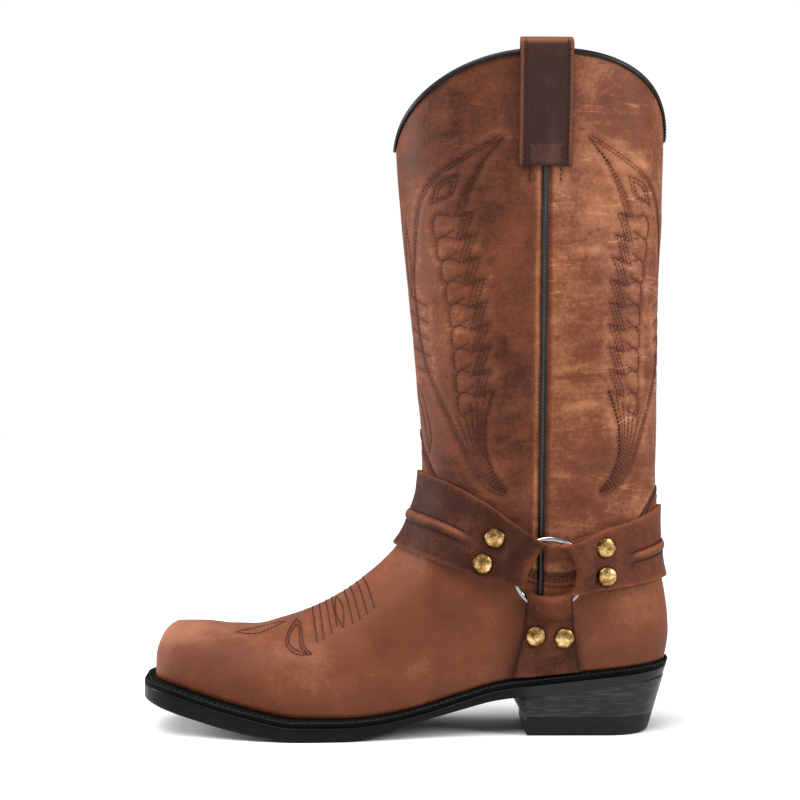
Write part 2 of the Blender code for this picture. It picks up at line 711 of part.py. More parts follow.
def build_pull_strap(side, material, collection):
    """A loop over the collar: outer leg down to its hem, a round top and a leg inside the shaft."""
    half = PULL_STRAP_THICKNESS / 2
    outer = PULL_STRAP_STANDOFF + half
    inner = -(WALL + BINDING_GAP + BINDING_THICKNESS + GAP + half)
    bend = (outer - inner) / 2
    bend_z = PULL_STRAP_TOP_Z - half - bend
    rows = []

    def leg(z, out):
        x = seam_x(z) + PULL_STRAP_COLUMNS * PULL_STRAP_HALF_WIDTH
        rows.append(side_points(x, np.full_like(x, z), side, out)[0])

    bump = np.exp(-(PULL_STRAP_COLUMNS * PULL_STRAP_HALF_WIDTH / PIPING_BUMP_WIDTH) ** 2)
    hem = PULL_STRAP_HEM_GAP + (PULL_STRAP_STANDOFF - PULL_STRAP_HEM_GAP) * bump + half
    for z in np.linspace(PULL_STRAP_HEM_Z, bend_z, PULL_STRAP_OUTER_ROWS):
        lift = smooth_step(PULL_STRAP_HEM_Z, bend_z - BINDING_REACH, z)
        leg(z, hem * (1 - lift) + outer * lift)
    x = seam_x(bend_z) + PULL_STRAP_COLUMNS * PULL_STRAP_HALF_WIDTH
    base, normal = side_points(x, np.full_like(x, bend_z), side, np.zeros_like(x))
    for step in range(1, PULL_STRAP_BEND_STEPS):
        turn = math.pi * step / PULL_STRAP_BEND_STEPS
        out = (outer + inner) / 2 + bend * math.cos(turn)
        rows.append(base + normal * out + np.array([0.0, 0.0, bend * math.sin(turn)]))
    for z in np.linspace(bend_z, PULL_STRAP_INNER_Z, PULL_STRAP_INNER_ROWS):
        leg(z, np.full_like(x, inner))
    name = f"pull_strap_{SIDE_NAMES[side]}"
    strap = skin_object(name, np.array(rows), material, collection)
    return thicken(strap, PULL_STRAP_THICKNESS, 0.0)


# Distances from the upper's surface to the middle of a strap, and to the ring
STRAP_LOW = STRAP_GAP + VAMP_STEP + STRAP_THICKNESS / 2
STRAP_HIGH = STRAP_LOW + STRAP_THICKNESS + STRAP_LAYER_GAP
STRAP_FOLD = RING_WIRE_RADIUS + WIRE_GAP + STRAP_THICKNESS / 2
RING_OUT = STRAP_LOW + STRAP_FOLD
STRAP_FOLD_STEPS = 4
RING_SEGMENTS = 24
WIRE_SEGMENTS = 6
STRAP_FOLD_RUN = 5.5
BEAD_COLUMNS = np.array((-1.0, -0.50, -0.27, -0.12, 0.03, 0.45, 1.0))
BEAD_COLUMN = 3
PLAIN_COLUMNS = np.array((-1.0, -0.5, 0.0, 0.5, 1.0))


def ring_frame(side):
    """Centre of a harness ring and the normal of its plane, laid on the wall all round the ring."""
    turn = np.linspace(0.0, 2 * math.pi, RING_SEGMENTS, endpoint=False)
    x = RING_X + RING_RADIUS * np.cos(turn)
    z = RING_Z + RING_RADIUS * np.sin(turn)
    wall = side_points(x, z, side, np.zeros_like(x))[0]
    middle = wall.mean(axis=0)
    normal = np.linalg.svd(wall - middle)[2][2]
    normal *= np.sign(normal[1]) * side
    return middle + normal * (RING_OUT + ((wall - middle) @ normal).max()), normal


def fold_rows(side, lay, columns, half_width):
    """Rows of a strap's fold round the ring's wire, from the under layer to the upper one.

    A straight fold runs across the strap, one that isn't follows the curve of the wire.
    """
    centre, normal = ring_frame(side)
    run = np.array([lay["toward"][0], 0.0, lay["toward"][1]])
    run -= normal * run.dot(normal)
    run /= np.linalg.norm(run)
    across = np.cross(run, normal)
    across *= np.sign(across[2]) if abs(run[0]) > abs(run[2]) else np.sign(across[0])
    reach = columns * half_width
    wire = np.sqrt(RING_RADIUS ** 2 - reach ** 2)
    stretch = RING_RADIUS / wire
    bend = wire + (wire.min() - wire) * lay["straight"]

    def row(distance, height):
        flat = centre + np.outer(distance, run) + np.outer(reach, across)
        return flat + normal * height

    rows = [row(wire + STRAP_FOLD_RUN, -STRAP_FOLD)]
    for step in range(STRAP_FOLD_STEPS + 1):
        turn = math.pi * (step / STRAP_FOLD_STEPS - 0.5)
        rows.append(row(bend - STRAP_FOLD * stretch * math.cos(turn), STRAP_FOLD * math.sin(turn)))
    rows.append(row(wire + STRAP_FOLD_RUN, STRAP_FOLD))
    return rows


def band_rows(strap, lay, side, layer, out):
    """Rows of one layer of a strap along the leg, with the bead where the strap is single."""
    middle = smooth_curve(strap["angle"], strap["middle"])
    half = smooth_curve(strap["angle"], strap["half"])
    rows = []
    for angle in lay[layer]:
        z = middle(angle) + BEAD_COLUMNS * half(angle)
        lift = np.full_like(z, out)
        lift[BEAD_COLUMN] += BEAD_HEIGHT * smooth_step(*lay["bead"], angle)
        rows.append(leg_points(np.full_like(z, angle), z, side, lift))
    return rows


def band_half(strap, lay, side):
    """Half a strap: its under layer, the fold round the ring and the run to the middle of the boot."""
    rows = band_rows(strap, lay, side, "under", STRAP_LOW)
    rows += fold_rows(side, lay, BEAD_COLUMNS, strap["half"][0])
    rows += band_rows(strap, lay, side, "over", STRAP_HIGH)
    rows += band_rows(strap, lay, side, "ramp", (STRAP_HIGH + STRAP_LOW) / 2)
    rows += band_rows(strap, lay, side, "single", STRAP_LOW)
    return rows


def build_band(name, strap, lay, material, collection):
    """A strap from one ring round the front or the heel to the other ring."""
    lateral = band_half(strap, lay, LATERAL)
    medial = band_half(strap, lay, MEDIAL)
    rows = np.array(lateral + medial[-2::-1])
    return thicken(skin_object(name, rows, material, collection), STRAP_THICKNESS, 0.0)


SIDE_STRAP_END_GAP = 0.6


def build_side_strap(side, material, collection):
    """The strap from the ring down to the welt."""
    middle = smooth_curve(SIDE_STRAP["z"], SIDE_STRAP["middle"])
    half = smooth_curve(SIDE_STRAP["z"], SIDE_STRAP["half"])

    def row(z, out):
        x = middle(z) + PLAIN_COLUMNS * half(z)
        height = np.maximum(np.full_like(x, z), feather_z(x) + SIDE_STRAP_END_GAP)
        return side_points(x, height, side, np.full_like(x, out))[0]

    rows = [row(z, STRAP_LOW) for z in SIDE_LAY["under"]]
    rows += fold_rows(side, SIDE_LAY, PLAIN_COLUMNS, SIDE_STRAP["half"][0])
    rows += [row(z, STRAP_HIGH) for z in SIDE_LAY["over"]]
    rows += [row(z, STRAP_LOW) for z in SIDE_LAY["single"]]
    name = f"side_strap_{SIDE_NAMES[side]}"
    return thicken(skin_object(name, np.array(rows), material, collection), STRAP_THICKNESS, 0.0)


def face_along(normal):
    return Vector(normal).to_track_quat("Z", "Y").to_matrix().to_4x4()


def build_ring(side, material, collection):
    centre, normal = ring_frame(side)
    bpy.ops.mesh.primitive_torus_add(
        major_segments=RING_SEGMENTS, minor_segments=WIRE_SEGMENTS,
        major_radius=RING_RADIUS * MM, minor_radius=RING_WIRE_RADIUS * MM,
    )
    ring = bpy.context.object
    ring.name = f"ring_{SIDE_NAMES[side]}"
    ring.data.materials.append(material)
    ring.data.shade_smooth()
    ring.matrix_world = Matrix.Translation(Vector(centre) * MM) @ face_along(normal)
    for owner in list(ring.users_collection):
        owner.objects.unlink(ring)
    collection.objects.link(ring)
    return ring


RIVET_STEPS = 10
# Profile of a rivet cap: share of its radius and of its height, from the top down to its flat back
RIVET_PROFILE = ((0.0, 1.0), (0.42, 0.93), (0.76, 0.70), (1.0, 0.30), (0.96, 0.0), (0.0, 0.0))


def build_rivet(name, side, material, collection):
    x, z = RIVETS[name]
    out = STRAP_HIGH + STRAP_THICKNESS / 2 + RIVET_GAP
    seat, normal = side_points(np.array([x]), np.array([z]), side, np.array([out]))
    bm = bmesh.new()
    profile = [(share * RIVET_RADIUS * MM, 0.0, rise * RIVET_HEIGHT * MM) for share, rise in RIVET_PROFILE]
    verts = [bm.verts.new(place) for place in profile]
    for first, second in zip(verts, verts[1:]):
        bm.edges.new((first, second))
    rivet = mesh_object(f"rivet_{name}_{SIDE_NAMES[side]}", bm, material, collection)
    turn = rivet.modifiers.new("turned", "SCREW")
    turn.axis = "Z"
    turn.steps = RIVET_STEPS
    turn.render_steps = RIVET_STEPS
    turn.use_merge_vertices = True
    turn.merge_threshold = 0.00001
    rivet.matrix_world = Matrix.Translation(Vector(seat[0]) * MM) @ face_along(normal[0])
    return rivet


def build_harness(strap_leather, steel, brass, collection):
    build_band("front_strap", FRONT_STRAP, FRONT_LAY, strap_leather, collection)
    build_band("heel_strap", HEEL_STRAP, HEEL_LAY, strap_leather, collection)
    for side in (LATERAL, MEDIAL):
        build_side_strap(side, strap_leather, collection)
        build_ring(side, steel, collection)
        for name in RIVETS:
            build_rivet(name, side, brass, collection)


def main():
    clear_scene()
    boot = make_collection("harness_boot")
    brown = make_material("brown leather", (0.20, 0.078, 0.036), 0.5)
    strap_brown = make_material("strap leather", (0.105, 0.038, 0.026), 0.5)
    dark_brown = make_material("pull strap leather", (0.07, 0.027, 0.019), 0.5)
    trim_black = make_material("black trim", (0.012, 0.011, 0.011), 0.3)
    black = make_material("black sole rubber", (0.012, 0.011, 0.011), 0.5)
    welt_black = make_material("black welt", (0.016, 0.014, 0.013), 0.55)
    stack_black = make_material("black heel stack", (0.02, 0.019, 0.019), 0.5)
    tan = make_material("tan insole leather", (0.45, 0.27, 0.14), 0.7)
    steel = make_material("bright steel", (0.62, 0.62, 0.62), 0.2, 1.0)
    brass = make_material("antique brass", (0.42, 0.30, 0.12), 0.35, 1.0)
    build_upper(brown, boot)
    build_insole(tan, boot)
    build_welt(welt_black, boot)
    build_outsole(black, boot)
    build_heel_stack(stack_black, boot)
    build_heel_cap(black, boot)
    build_collar_binding(trim_black, boot)
    for side in (LATERAL, MEDIAL):
        build_side_piping(side, trim_black, boot)
        build_pull_strap(side, dark_brown, boot)
    build_harness(strap_brown, steel, brass, boot)


main()
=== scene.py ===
"""Looks of a pull-on harness boot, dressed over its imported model.

The toe points along -X and the outer (lateral) side faces -Y. Sizes and tables are in millimetres, as in
the part's own source, until a mesh is made of them.
"""

import math

import bmesh
import bpy
import numpy as np
from mathutils import Matrix, Vector, noise
from mathutils.bvhtree import BVHTree
from mathutils.kdtree import KDTree


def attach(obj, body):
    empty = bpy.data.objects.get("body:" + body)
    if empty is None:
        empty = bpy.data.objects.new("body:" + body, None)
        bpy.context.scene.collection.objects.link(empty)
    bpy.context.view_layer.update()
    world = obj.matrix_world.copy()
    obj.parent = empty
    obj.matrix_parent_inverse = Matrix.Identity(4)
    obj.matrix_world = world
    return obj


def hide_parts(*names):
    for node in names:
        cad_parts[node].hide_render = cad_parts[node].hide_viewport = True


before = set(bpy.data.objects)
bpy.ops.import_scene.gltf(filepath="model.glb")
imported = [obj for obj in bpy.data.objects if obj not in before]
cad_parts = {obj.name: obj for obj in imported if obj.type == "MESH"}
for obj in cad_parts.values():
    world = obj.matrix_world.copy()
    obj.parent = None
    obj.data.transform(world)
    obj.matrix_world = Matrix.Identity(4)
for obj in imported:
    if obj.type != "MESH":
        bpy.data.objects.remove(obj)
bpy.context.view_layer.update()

MM = 0.001
LATERAL = -1
MEDIAL = 1
SIDES = (LATERAL, MEDIAL)
SIDE_NAMES = {LATERAL: "lateral", MEDIAL: "medial"}

# Driving sizes; all but a few are the solids' own
SOLE_LENGTH = 305.0
SOLE_BACK = SOLE_LENGTH / 2
LAST_BACK = 150.0
LAST_TIP = -146.0
TOE_SKEW = 0.05
TOE_SKEW_REACH = (60.0, 146.0)
WALL = 2.4
VAMP_STEP = 1.0
WELT_HEIGHT = 5.0
WELT_SLOPE = 2.0
WELT_SEAT = 6.5
INSOLE_THICKNESS = 3.4
HEEL_SEAT_X = 62.0
HEEL_SEAT_SLOPE = 0.1045
HEEL_CAP_HEIGHT = 10.5
HEEL_BREAST_X = 67.5
HEEL_BREAST_BULGE = 8.5
HEEL_BREAST_BULGE_LOW = 1.8
HEEL_ROUND_X = 112.0
HEEL_FOOT_BACK = 139.8
HEEL_FOOT_HALF_WIDTH = 30.6
HEEL_BACK_LEAN = 0.305
HEEL_SIDE_LEAN = 0.115
STRAP_THICKNESS = 2.2
STRAP_GAP = 0.45
STRAP_LAYER_GAP = 0.3
RING_X = 80.0
RING_Z = 94.0
RING_RADIUS = 19.7
RING_WIRE_RADIUS = 1.6
WIRE_GAP = 0.8
BEAD_HEIGHT = 1.5
RIVET_RADIUS = 5.9
RIVET_HEIGHT = 2.9
COLLAR_RISE = 46.6
COLLAR_BACK_POWER = 2.44
COLLAR_FRONT_POWER = 1.95
COLLAR_DIP_ROUND = 0.06
DIP_BACK_POWER = 2.0
DIP_FRONT_POWER = 1.25
COLLAR_DIP_SCALE = math.hypot(1.0, COLLAR_DIP_ROUND) - COLLAR_DIP_ROUND
SEAM_X_AT_RING = 75.3
SEAM_LEAN = 0.0097
PIPING_LOW_Z = 80.8
PIPING_HIGH_Z = 380.0
PULL_STRAP_HALF_WIDTH = 14.8
PULL_STRAP_TOP_Z = 394.2
PULL_STRAP_HEM_Z = 321.6
PULL_STRAP_INNER_Z = 332.0
PULL_STRAP_THICKNESS = 2.2


def table(names, *rows):
    """Columns by name, from rows that give one section or fold each."""
    return dict(zip(names.split(), np.array(rows, dtype=float).T))


# Breadths along the foot: share runs from the heel (0) to the toe (1)
FOOT = table(
    "share sole_lateral sole_medial last_lateral last_medial margin arch",
    (0.00, 33.0, 33.0, 31.5, 31.5, 2.2, 2.40),
    (0.10, 34.6, 34.6, 33.0, 33.0, 2.4, 2.40),
    (0.20, 35.4, 34.2, 34.3, 33.8, 2.8, 2.40),
    (0.30, 36.0, 31.6, 35.3, 33.2, 3.2, 2.30),
    (0.38, 37.6, 29.8, 36.4, 32.8, 3.6, 2.20),
    (0.46, 41.4, 31.4, 38.6, 33.4, 4.2, 2.10),
    (0.54, 47.0, 37.0, 42.2, 36.2, 4.8, 2.00),
    (0.62, 51.6, 45.0, 46.0, 40.8, 5.4, 2.00),
    (0.70, 53.2, 51.0, 47.8, 45.6, 5.8, 2.10),
    (0.77, 51.0, 53.0, 46.0, 47.4, 6.0, 2.25),
    (0.84, 46.0, 50.6, 40.8, 45.2, 6.2, 2.50),
    (0.91, 39.4, 45.2, 34.2, 40.0, 6.3, 2.80),
    (0.96, 35.0, 40.6, 29.4, 35.0, 6.4, 3.00),
    (1.00, 32.0, 37.4, 26.4, 32.0, 6.5, 3.00),
)
# Line where the upper meets the welt, and the underside of the outsole, in front of the heel seat
FEATHER = table(
    "x z",
    (-152.5, 32.6), (-146.0, 31.6), (-135.0, 28.9), (-117.0, 23.8), (-88.0, 17.2), (-62.0, 12.9),
    (-37.0, 12.8), (-15.0, 14.2), (7.0, 18.6), (30.0, 25.2), (50.0, 31.0), (HEEL_SEAT_X, 33.0),
)
TREAD = table(
    "x z",
    (-152.5, 20.0), (-140.0, 15.4), (-117.0, 9.1), (-93.0, 4.1), (-72.0, 1.1), (-60.0, 0.0),
    (-36.0, 0.0), (-25.0, 1.2), (-12.0, 4.0), (7.0, 9.5), (30.0, 15.6), (50.0, 20.6),
    (HEEL_SEAT_X, 22.2),
)
# Profile of toe, vamp, instep and shaft front, from the toe's featherline up to the collar
FRONT_LINE = table(
    "x z",
    (-146.0, 31.6), (-146.0, 43.0), (-144.2, 50.0), (-140.2, 57.2), (-133.0, 61.3), (-119.0, 61.1),
    (-101.0, 59.4), (-88.0, 59.5), (-74.0, 62.9), (-61.0, 67.3), (-48.0, 73.1), (-34.5, 81.0),
    (-21.0, 91.0), (-9.0, 102.0), (-0.5, 113.0), (5.0, 126.0), (8.6, 139.0), (9.8, 156.0),
    (8.4, 174.0), (6.6, 191.0), (3.7, 226.0), (0.2, 261.0), (-3.3, 296.0), (-6.0, 331.0),
    (-9.0, 392.0),
)
# Profile of counter and shaft back
BACK_LINE = table(
    "z x",
    (42.0, 150.0), (50.0, 151.5), (57.0, 152.2), (67.0, 151.8), (79.0, 150.2), (86.0, 149.0),
    (97.0, 146.7), (109.0, 145.3), (120.0, 144.8), (132.0, 145.0), (156.0, 145.2), (191.0, 145.6),
    (226.0, 145.9), (261.0, 146.7), (296.0, 148.4), (331.0, 149.4), (392.0, 150.6),
)
# Half breadth of the shaft by height
SHAFT = table(
    "z breadth",
    (55.0, 35.0), (90.0, 37.0), (115.0, 38.5), (140.0, 40.0), (165.0, 41.3), (200.0, 42.6),
    (240.0, 43.8), (290.0, 44.8), (392.0, 45.5),
)
# Rings that the upper's wall is drawn through: where each starts on the front profile (length along
# it), the height of its back point, how far it follows the featherline, its dip and its rise at the side
RINGS = table(
    "front back follow dip rise",
    (0.0, 42.0, 1.00, 0.0, 0.0),
    (12.0, 47.0, 0.94, 0.0, 0.0),
    (36.0, 55.0, 0.80, 0.0, 0.0),
    (60.0, 62.0, 0.62, 0.0, 0.0),
    (104.0, 72.0, 0.32, -2.0, 0.0),
    (152.0, 88.0, 0.10, -12.0, 0.0),
    (200.0, 113.0, 0.00, -33.0, 0.0),
    (247.5, 141.0, 0.00, -66.0, 0.0),
    (248.1, 141.6, 0.00, -66.0, 0.0),
    (305.0, 205.0, 0.00, -44.0, 6.0),
    (411.5, 342.5, 0.00, 0.0, COLLAR_RISE),
)
RING_STEPS = (4, 8, 8, 22, 26, 14, 12, 2, 60, 118)
VAMP_EDGE_RING = 7
FRONT_CLEARANCE = 30.0
VAMP_STEP_FADE = 2.0
COLUMNS_AROUND = 300
LINING_ROWS = 34

# Straps by angle round the leg, 0 at the heel and 180 at the front: middle height and half width
FRONT_STRAP = table(
    "angle middle half",
    (88.0, 99.0, 14.4), (104.0, 107.0, 16.5), (114.0, 112.5, 18.5), (124.0, 117.0, 19.8),
    (140.0, 122.5, 21.0), (160.0, 126.5, 21.8), (180.0, 128.0, 22.0),
)
HEEL_STRAP = table(
    "angle middle half",
    (74.0, 97.4, 14.6), (62.0, 99.6, 17.0), (52.0, 101.6, 17.8), (42.0, 103.6, 18.6),
    (28.0, 106.2, 19.6), (14.0, 108.6, 20.4), (0.0, 109.6, 20.6),
)
# How a strap is laid: the way it leaves the ring (x, z), how straight its fold is, the angles of its
# under layer, its upper layer and the single layer beyond, and where its bead rises
FRONT_LAY = {
    "toward": (-0.89, 0.456), "straight": 0.7, "under": (119.0, 104.0), "over": (104.0, 119.0),
    "single": (128.0, 180.0), "bead": (121.0, 125.0), "bead_place": -0.20,
}
HEEL_LAY = {
    "toward": (0.98, 0.19), "straight": 0.1, "under": (46.0, 62.0), "over": (62.0, 46.0),
    "single": (38.0, 0.0), "bead": (43.0, 40.0), "bead_place": -0.13,
}
# Side strap by height: middle along the boot and half width
SIDE_STRAP = table(
    "z middle half",
    (76.0, 79.8, 12.8), (66.0, 80.0, 13.8), (56.0, 79.9, 15.2), (46.0, 79.3, 17.2), (34.0, 78.6, 19.4),
)
SIDE_LAY = {
    "toward": (0.0, -1.0), "straight": 0.5, "under": (49.0, 67.0), "over": (67.0, 49.0),
    "single": (42.0, 34.0),
}
# Rivets seen from the side
RIVETS = {
    "front_upper": (50.0, 113.4),
    "front_lower": (42.4, 98.9),
    "heel_upper": (110.4, 108.2),
    "heel_lower": (111.8, 91.2),
    "side_front": (72.4, 58.0),
    "side_back": (88.6, 56.8),
}


# Shape of the last and the leg
def smooth_curve(stations, values):
    """A function that runs smoothly through the values and doesn't overshoot between them."""
    order = np.argsort(stations)
    at = np.asarray(stations, dtype=float)[order]
    value = np.asarray(values, dtype=float)[order]
    step = np.diff(at)
    slope = np.diff(value) / step
    product = slope[1:] * slope[:-1]
    total = np.where(product > 0, slope[1:] + slope[:-1], 1.0)
    inner = np.where(product > 0, 2 * product / total, 0.0)
    tangent = np.concatenate([slope[:1], inner, slope[-1:]])

    def evaluate(position):
        q = np.clip(position, at[0], at[-1])
        i = np.clip(np.searchsorted(at, q, side="right") - 1, 0, len(step) - 1)
        h = (q - at[i]) / step[i]
        rise = h * h * (3 - 2 * h)
        start = h * (1 - h) ** 2 * step[i] * tangent[i]
        end = h * h * (h - 1) * step[i] * tangent[i + 1]
        return value[i] * (1 - rise) + value[i + 1] * rise + start + end

    return evaluate


def smooth_step(low, high, value):
    share = np.clip((value - low) / (high - low), 0.0, 1.0)
    return share * share * (3 - 2 * share)


def bell(distance, width):
    return np.exp(-(distance / width) ** 2)


def xyz(x, y, z):
    """Points from their places along, across and up."""
    return np.stack(np.broadcast_arrays(x, y, z), axis=-1)


def unit(vectors):
    """Vectors brought to a length of one."""
    return vectors / np.maximum(np.linalg.norm(vectors, axis=-1, keepdims=True), 1e-9)


def run_lengths(points):
    """Length along a line, up to each of its points."""
    return np.concatenate([[0.0], np.cumsum(np.linalg.norm(np.diff(points, axis=0), axis=-1))])


def rounded_end(distance, reach, power):
    """Share of the full breadth at a distance from a rounded end."""
    share = np.clip(distance / reach, 0.0, 1.0)
    return (1 - (1 - share) ** power) ** (1 / power)


foot_curve = {name: smooth_curve(FOOT["share"], FOOT[name]) for name in FOOT if name != "share"}
feather_curve = smooth_curve(FEATHER["x"], FEATHER["z"])
tread_curve = smooth_curve(TREAD["x"], TREAD["z"])
back_x = smooth_curve(BACK_LINE["z"], BACK_LINE["x"])
shaft_breadth = smooth_curve(SHAFT["z"], SHAFT["breadth"])

front_length = run_lengths(np.column_stack([FRONT_LINE["x"], FRONT_LINE["z"]]))
front_along_x = smooth_curve(front_length, FRONT_LINE["x"])
front_along_z = smooth_curve(front_length, FRONT_LINE["z"])

# The same front profile read as a height over the foot and as a depth of the shaft
INSTEP_START_X = -90.0
TOP_SLOPE_BEHIND_THROAT = 8.0
PROFILE_SAMPLES = 1200
profile_at = np.linspace(0.0, front_length[-1], PROFILE_SAMPLES)
profile_x = front_along_x(profile_at)
profile_z = front_along_z(profile_at)
throat = int(np.argmax(profile_x))
instep_start = int(np.searchsorted(profile_x[:throat], INSTEP_START_X))


def front_x(z):
    return np.interp(z, profile_z[instep_start:], profile_x[instep_start:])


def top_z(x):
    over_foot = np.interp(x, profile_x[:throat], profile_z[:throat])
    behind = np.maximum(x - profile_x[throat], 0.0) * TOP_SLOPE_BEHIND_THROAT
    return over_foot + behind


def seat_line(curve, x):
    """A sole line that runs straight over the heel seat."""
    seat = curve(HEEL_SEAT_X) + (x - HEEL_SEAT_X) * HEEL_SEAT_SLOPE
    return np.where(x > HEEL_SEAT_X, seat, curve(x))


def feather_z(x):
    return seat_line(feather_curve, x)


def tread_z(x):
    return seat_line(tread_curve, x)


SOLE_TOE_REACH = {LATERAL: 26.0, MEDIAL: 15.0}
SOLE_TOE_POWER = 3.2
LAST_TOE_REACH = {LATERAL: 22.0, MEDIAL: 14.0}
LAST_TOE_POWER = 3.0
HEEL_REACH = 38.0
HEEL_POWER = 2.3


def side_column(name, side):
    return foot_curve[f"{name}_{SIDE_NAMES[side]}"]


def sole_breadth(x, side):
    """Half breadth of the sole's outline, measured from the middle line."""
    share = (SOLE_BACK - x) / SOLE_LENGTH
    heel = rounded_end(SOLE_BACK - x, HEEL_REACH, HEEL_POWER)
    toe = rounded_end(SOLE_BACK + x, SOLE_TOE_REACH[side], SOLE_TOE_POWER)
    return side_column("sole", side)(share) * heel * toe


def last_share(x):
    return (LAST_BACK - x) / (LAST_BACK - LAST_TIP)


def last_ends(x, side):
    heel = rounded_end(LAST_BACK - x, HEEL_REACH, HEEL_POWER)
    toe = rounded_end(x - LAST_TIP, LAST_TOE_REACH[side], LAST_TOE_POWER)
    return heel * toe


def feather_breadth(x, side):
    """Half breadth of the upper where it meets the welt."""
    share = last_share(x)
    return (side_column("sole", side)(share) - foot_curve["margin"](share)) * last_ends(x, side)


WIDEST_LEVEL = 0.24
SHAFT_POWER = 2.2
ANKLE_BACK_Z = 84.0
ANKLE_FRONT_Z = 112.0
ANKLE_BAND = 27.0
COUNTER_REACH = (60.0, 140.0)


def foot_breadth(x, z, side):
    """Half breadth over the foot, from upright sections across the last."""
    follow_back = smooth_step(*COUNTER_REACH, x)
    level_x = x - (back_x(z) - LAST_BACK) * follow_back
    share = last_share(level_x)
    widest = side_column("last", side)(share)
    tuck = (side_column("sole", side)(share) - foot_curve["margin"](share)) / widest
    power = foot_curve["arch"](share)
    low = feather_z(x)
    height = np.clip((z - low) / (top_z(x) - low), 0.0, 1.0)
    wall = tuck + (1 - tuck) * np.sin(0.5 * math.pi * np.clip(height / WIDEST_LEVEL, 0.0, 1.0))
    over = np.clip((height - WIDEST_LEVEL) / (1 - WIDEST_LEVEL), 0.0, 1.0)
    arch = (1 - over ** power) ** (1 / power)
    return widest * last_ends(level_x, side) * np.where(height < WIDEST_LEVEL, wall, arch)


def leg_breadth(x, z):
    """Half breadth round the leg, from level sections of the shaft."""
    back = back_x(z)
    across = np.clip(np.abs(2 * (back - x) / (back - front_x(z)) - 1), 0.0, 1.0)
    return shaft_breadth(z) * (1 - across ** SHAFT_POWER) ** (1 / SHAFT_POWER)


def upper_breadth(x, z, side):
    """Half breadth of the upper at any place of its side view: foot below, leg above the ankle."""
    along = np.clip((LAST_BACK - x) / LAST_BACK, 0.0, 1.0)
    ankle_z = ANKLE_BACK_Z + (ANKLE_FRONT_Z - ANKLE_BACK_Z) * along
    leg = smooth_step(ankle_z - ANKLE_BAND, ankle_z + ANKLE_BAND, z)
    return foot_breadth(x, z, side) * (1 - leg) + leg_breadth(x, z) * leg


def skewed(points):
    """The toe's front edge turned a little, so that its inner corner leads."""
    moved = np.array(points, dtype=float)
    moved[..., 0] -= TOE_SKEW * moved[..., 1] * smooth_step(*TOE_SKEW_REACH, -moved[..., 0])
    return moved


def ring_points(front, back, follow, dip, rise, angles):
    """One ring of the upper: from the heel round the medial side to the front and back again."""
    along = (1 - np.cos(angles)) / 2
    bulge = np.abs(np.cos(angles))
    x = back_x(back) + (front_along_x(front) - back_x(back)) * along
    chord = back + (front_along_z(front) - back) * along
    base_x = LAST_BACK + (LAST_TIP - LAST_BACK) * along
    base_chord = feather_z(LAST_BACK) + (feather_z(LAST_TIP) - feather_z(LAST_BACK)) * along
    back_half = along < 0.5
    power = np.where(back_half, COLLAR_BACK_POWER, COLLAR_FRONT_POWER)
    scallop = np.clip(1 - bulge ** power, 0.0, 1.0) ** (1 / power)
    scallop = (np.hypot(scallop, COLLAR_DIP_ROUND) - COLLAR_DIP_ROUND) / COLLAR_DIP_SCALE
    dipped = dip * np.abs(np.sin(angles)) ** np.where(back_half, DIP_BACK_POWER, DIP_FRONT_POWER)
    z = chord + follow * (feather_z(base_x) - base_chord) + dipped + rise * scallop
    if front >= RINGS["front"][VAMP_EDGE_RING]:
        x = np.maximum(x, front_x(z) + FRONT_CLEARANCE * (1 - along))
    medial = upper_breadth(x, z, MEDIAL)
    lateral = -upper_breadth(x, z, LATERAL)
    return xyz(x, np.where(np.sin(angles) >= 0, medial, lateral), z)


def ring_values(position):
    """The ring table's values at a fractional row."""
    rows = np.arange(len(RINGS["front"]))
    return {name: np.interp(position, rows, column) for name, column in RINGS.items()}


# Steps that the surface's slopes are taken over, and the angles beyond which it faces straight on
TURN_PROBE = 0.02
PLACE_PROBE = 0.5
LEG_ENDS = (1.0, 179.0)


def leg_points(angle, z, side, out):
    """Points of the leg's surface by angle (degrees) and height, moved out along the normal."""
    def place(turn, height):
        back = back_x(height)
        x = back + (front_x(height) - back) * (1 - np.cos(turn)) / 2
        return xyz(x, side * upper_breadth(x, height, side), height)

    angle = np.asarray(angle, dtype=float)
    height = np.asarray(z, dtype=float)
    turn = np.radians(np.clip(angle, *LEG_ENDS))
    across = place(turn + TURN_PROBE, height) - place(turn - TURN_PROBE, height)
    upward = place(turn, height + PLACE_PROBE) - place(turn, height - PLACE_PROBE)
    normal = unit(side * np.cross(across, upward))
    at_end = (angle <= LEG_ENDS[0]) | (angle >= LEG_ENDS[1])
    normal = np.where(at_end[..., None], unit(normal * np.array([1.0, 0.0, 1.0])), normal)
    return place(np.radians(angle), height) + normal * np.asarray(out, dtype=float)[..., None]


def side_points(x, z, side, out):
    """Points of the upper's side by their place in the side view, moved out along the normal."""
    def slope(step_x, step_z):
        ahead = upper_breadth(x + step_x, z + step_z, side)
        behind = upper_breadth(x - step_x, z - step_z, side)
        return (ahead - behind) / (2 * PLACE_PROBE)

    y = upper_breadth(x, z, side)
    normal = unit(xyz(-slope(PLACE_PROBE, 0.0), side, -slope(0.0, PLACE_PROBE)))
    return xyz(x, side * y, z) + normal * np.asarray(out, dtype=float)[..., None], normal


def side_run(x, z, side, out):
    """A line on the upper's side, lifted off it."""
    x, z = np.broadcast_arrays(np.asarray(x, dtype=float), z)
    return side_points(x, z, side, np.full(x.shape, out))[0]


def seam_x(z):
    return SEAM_X_AT_RING + (z - RING_Z) * SEAM_LEAN


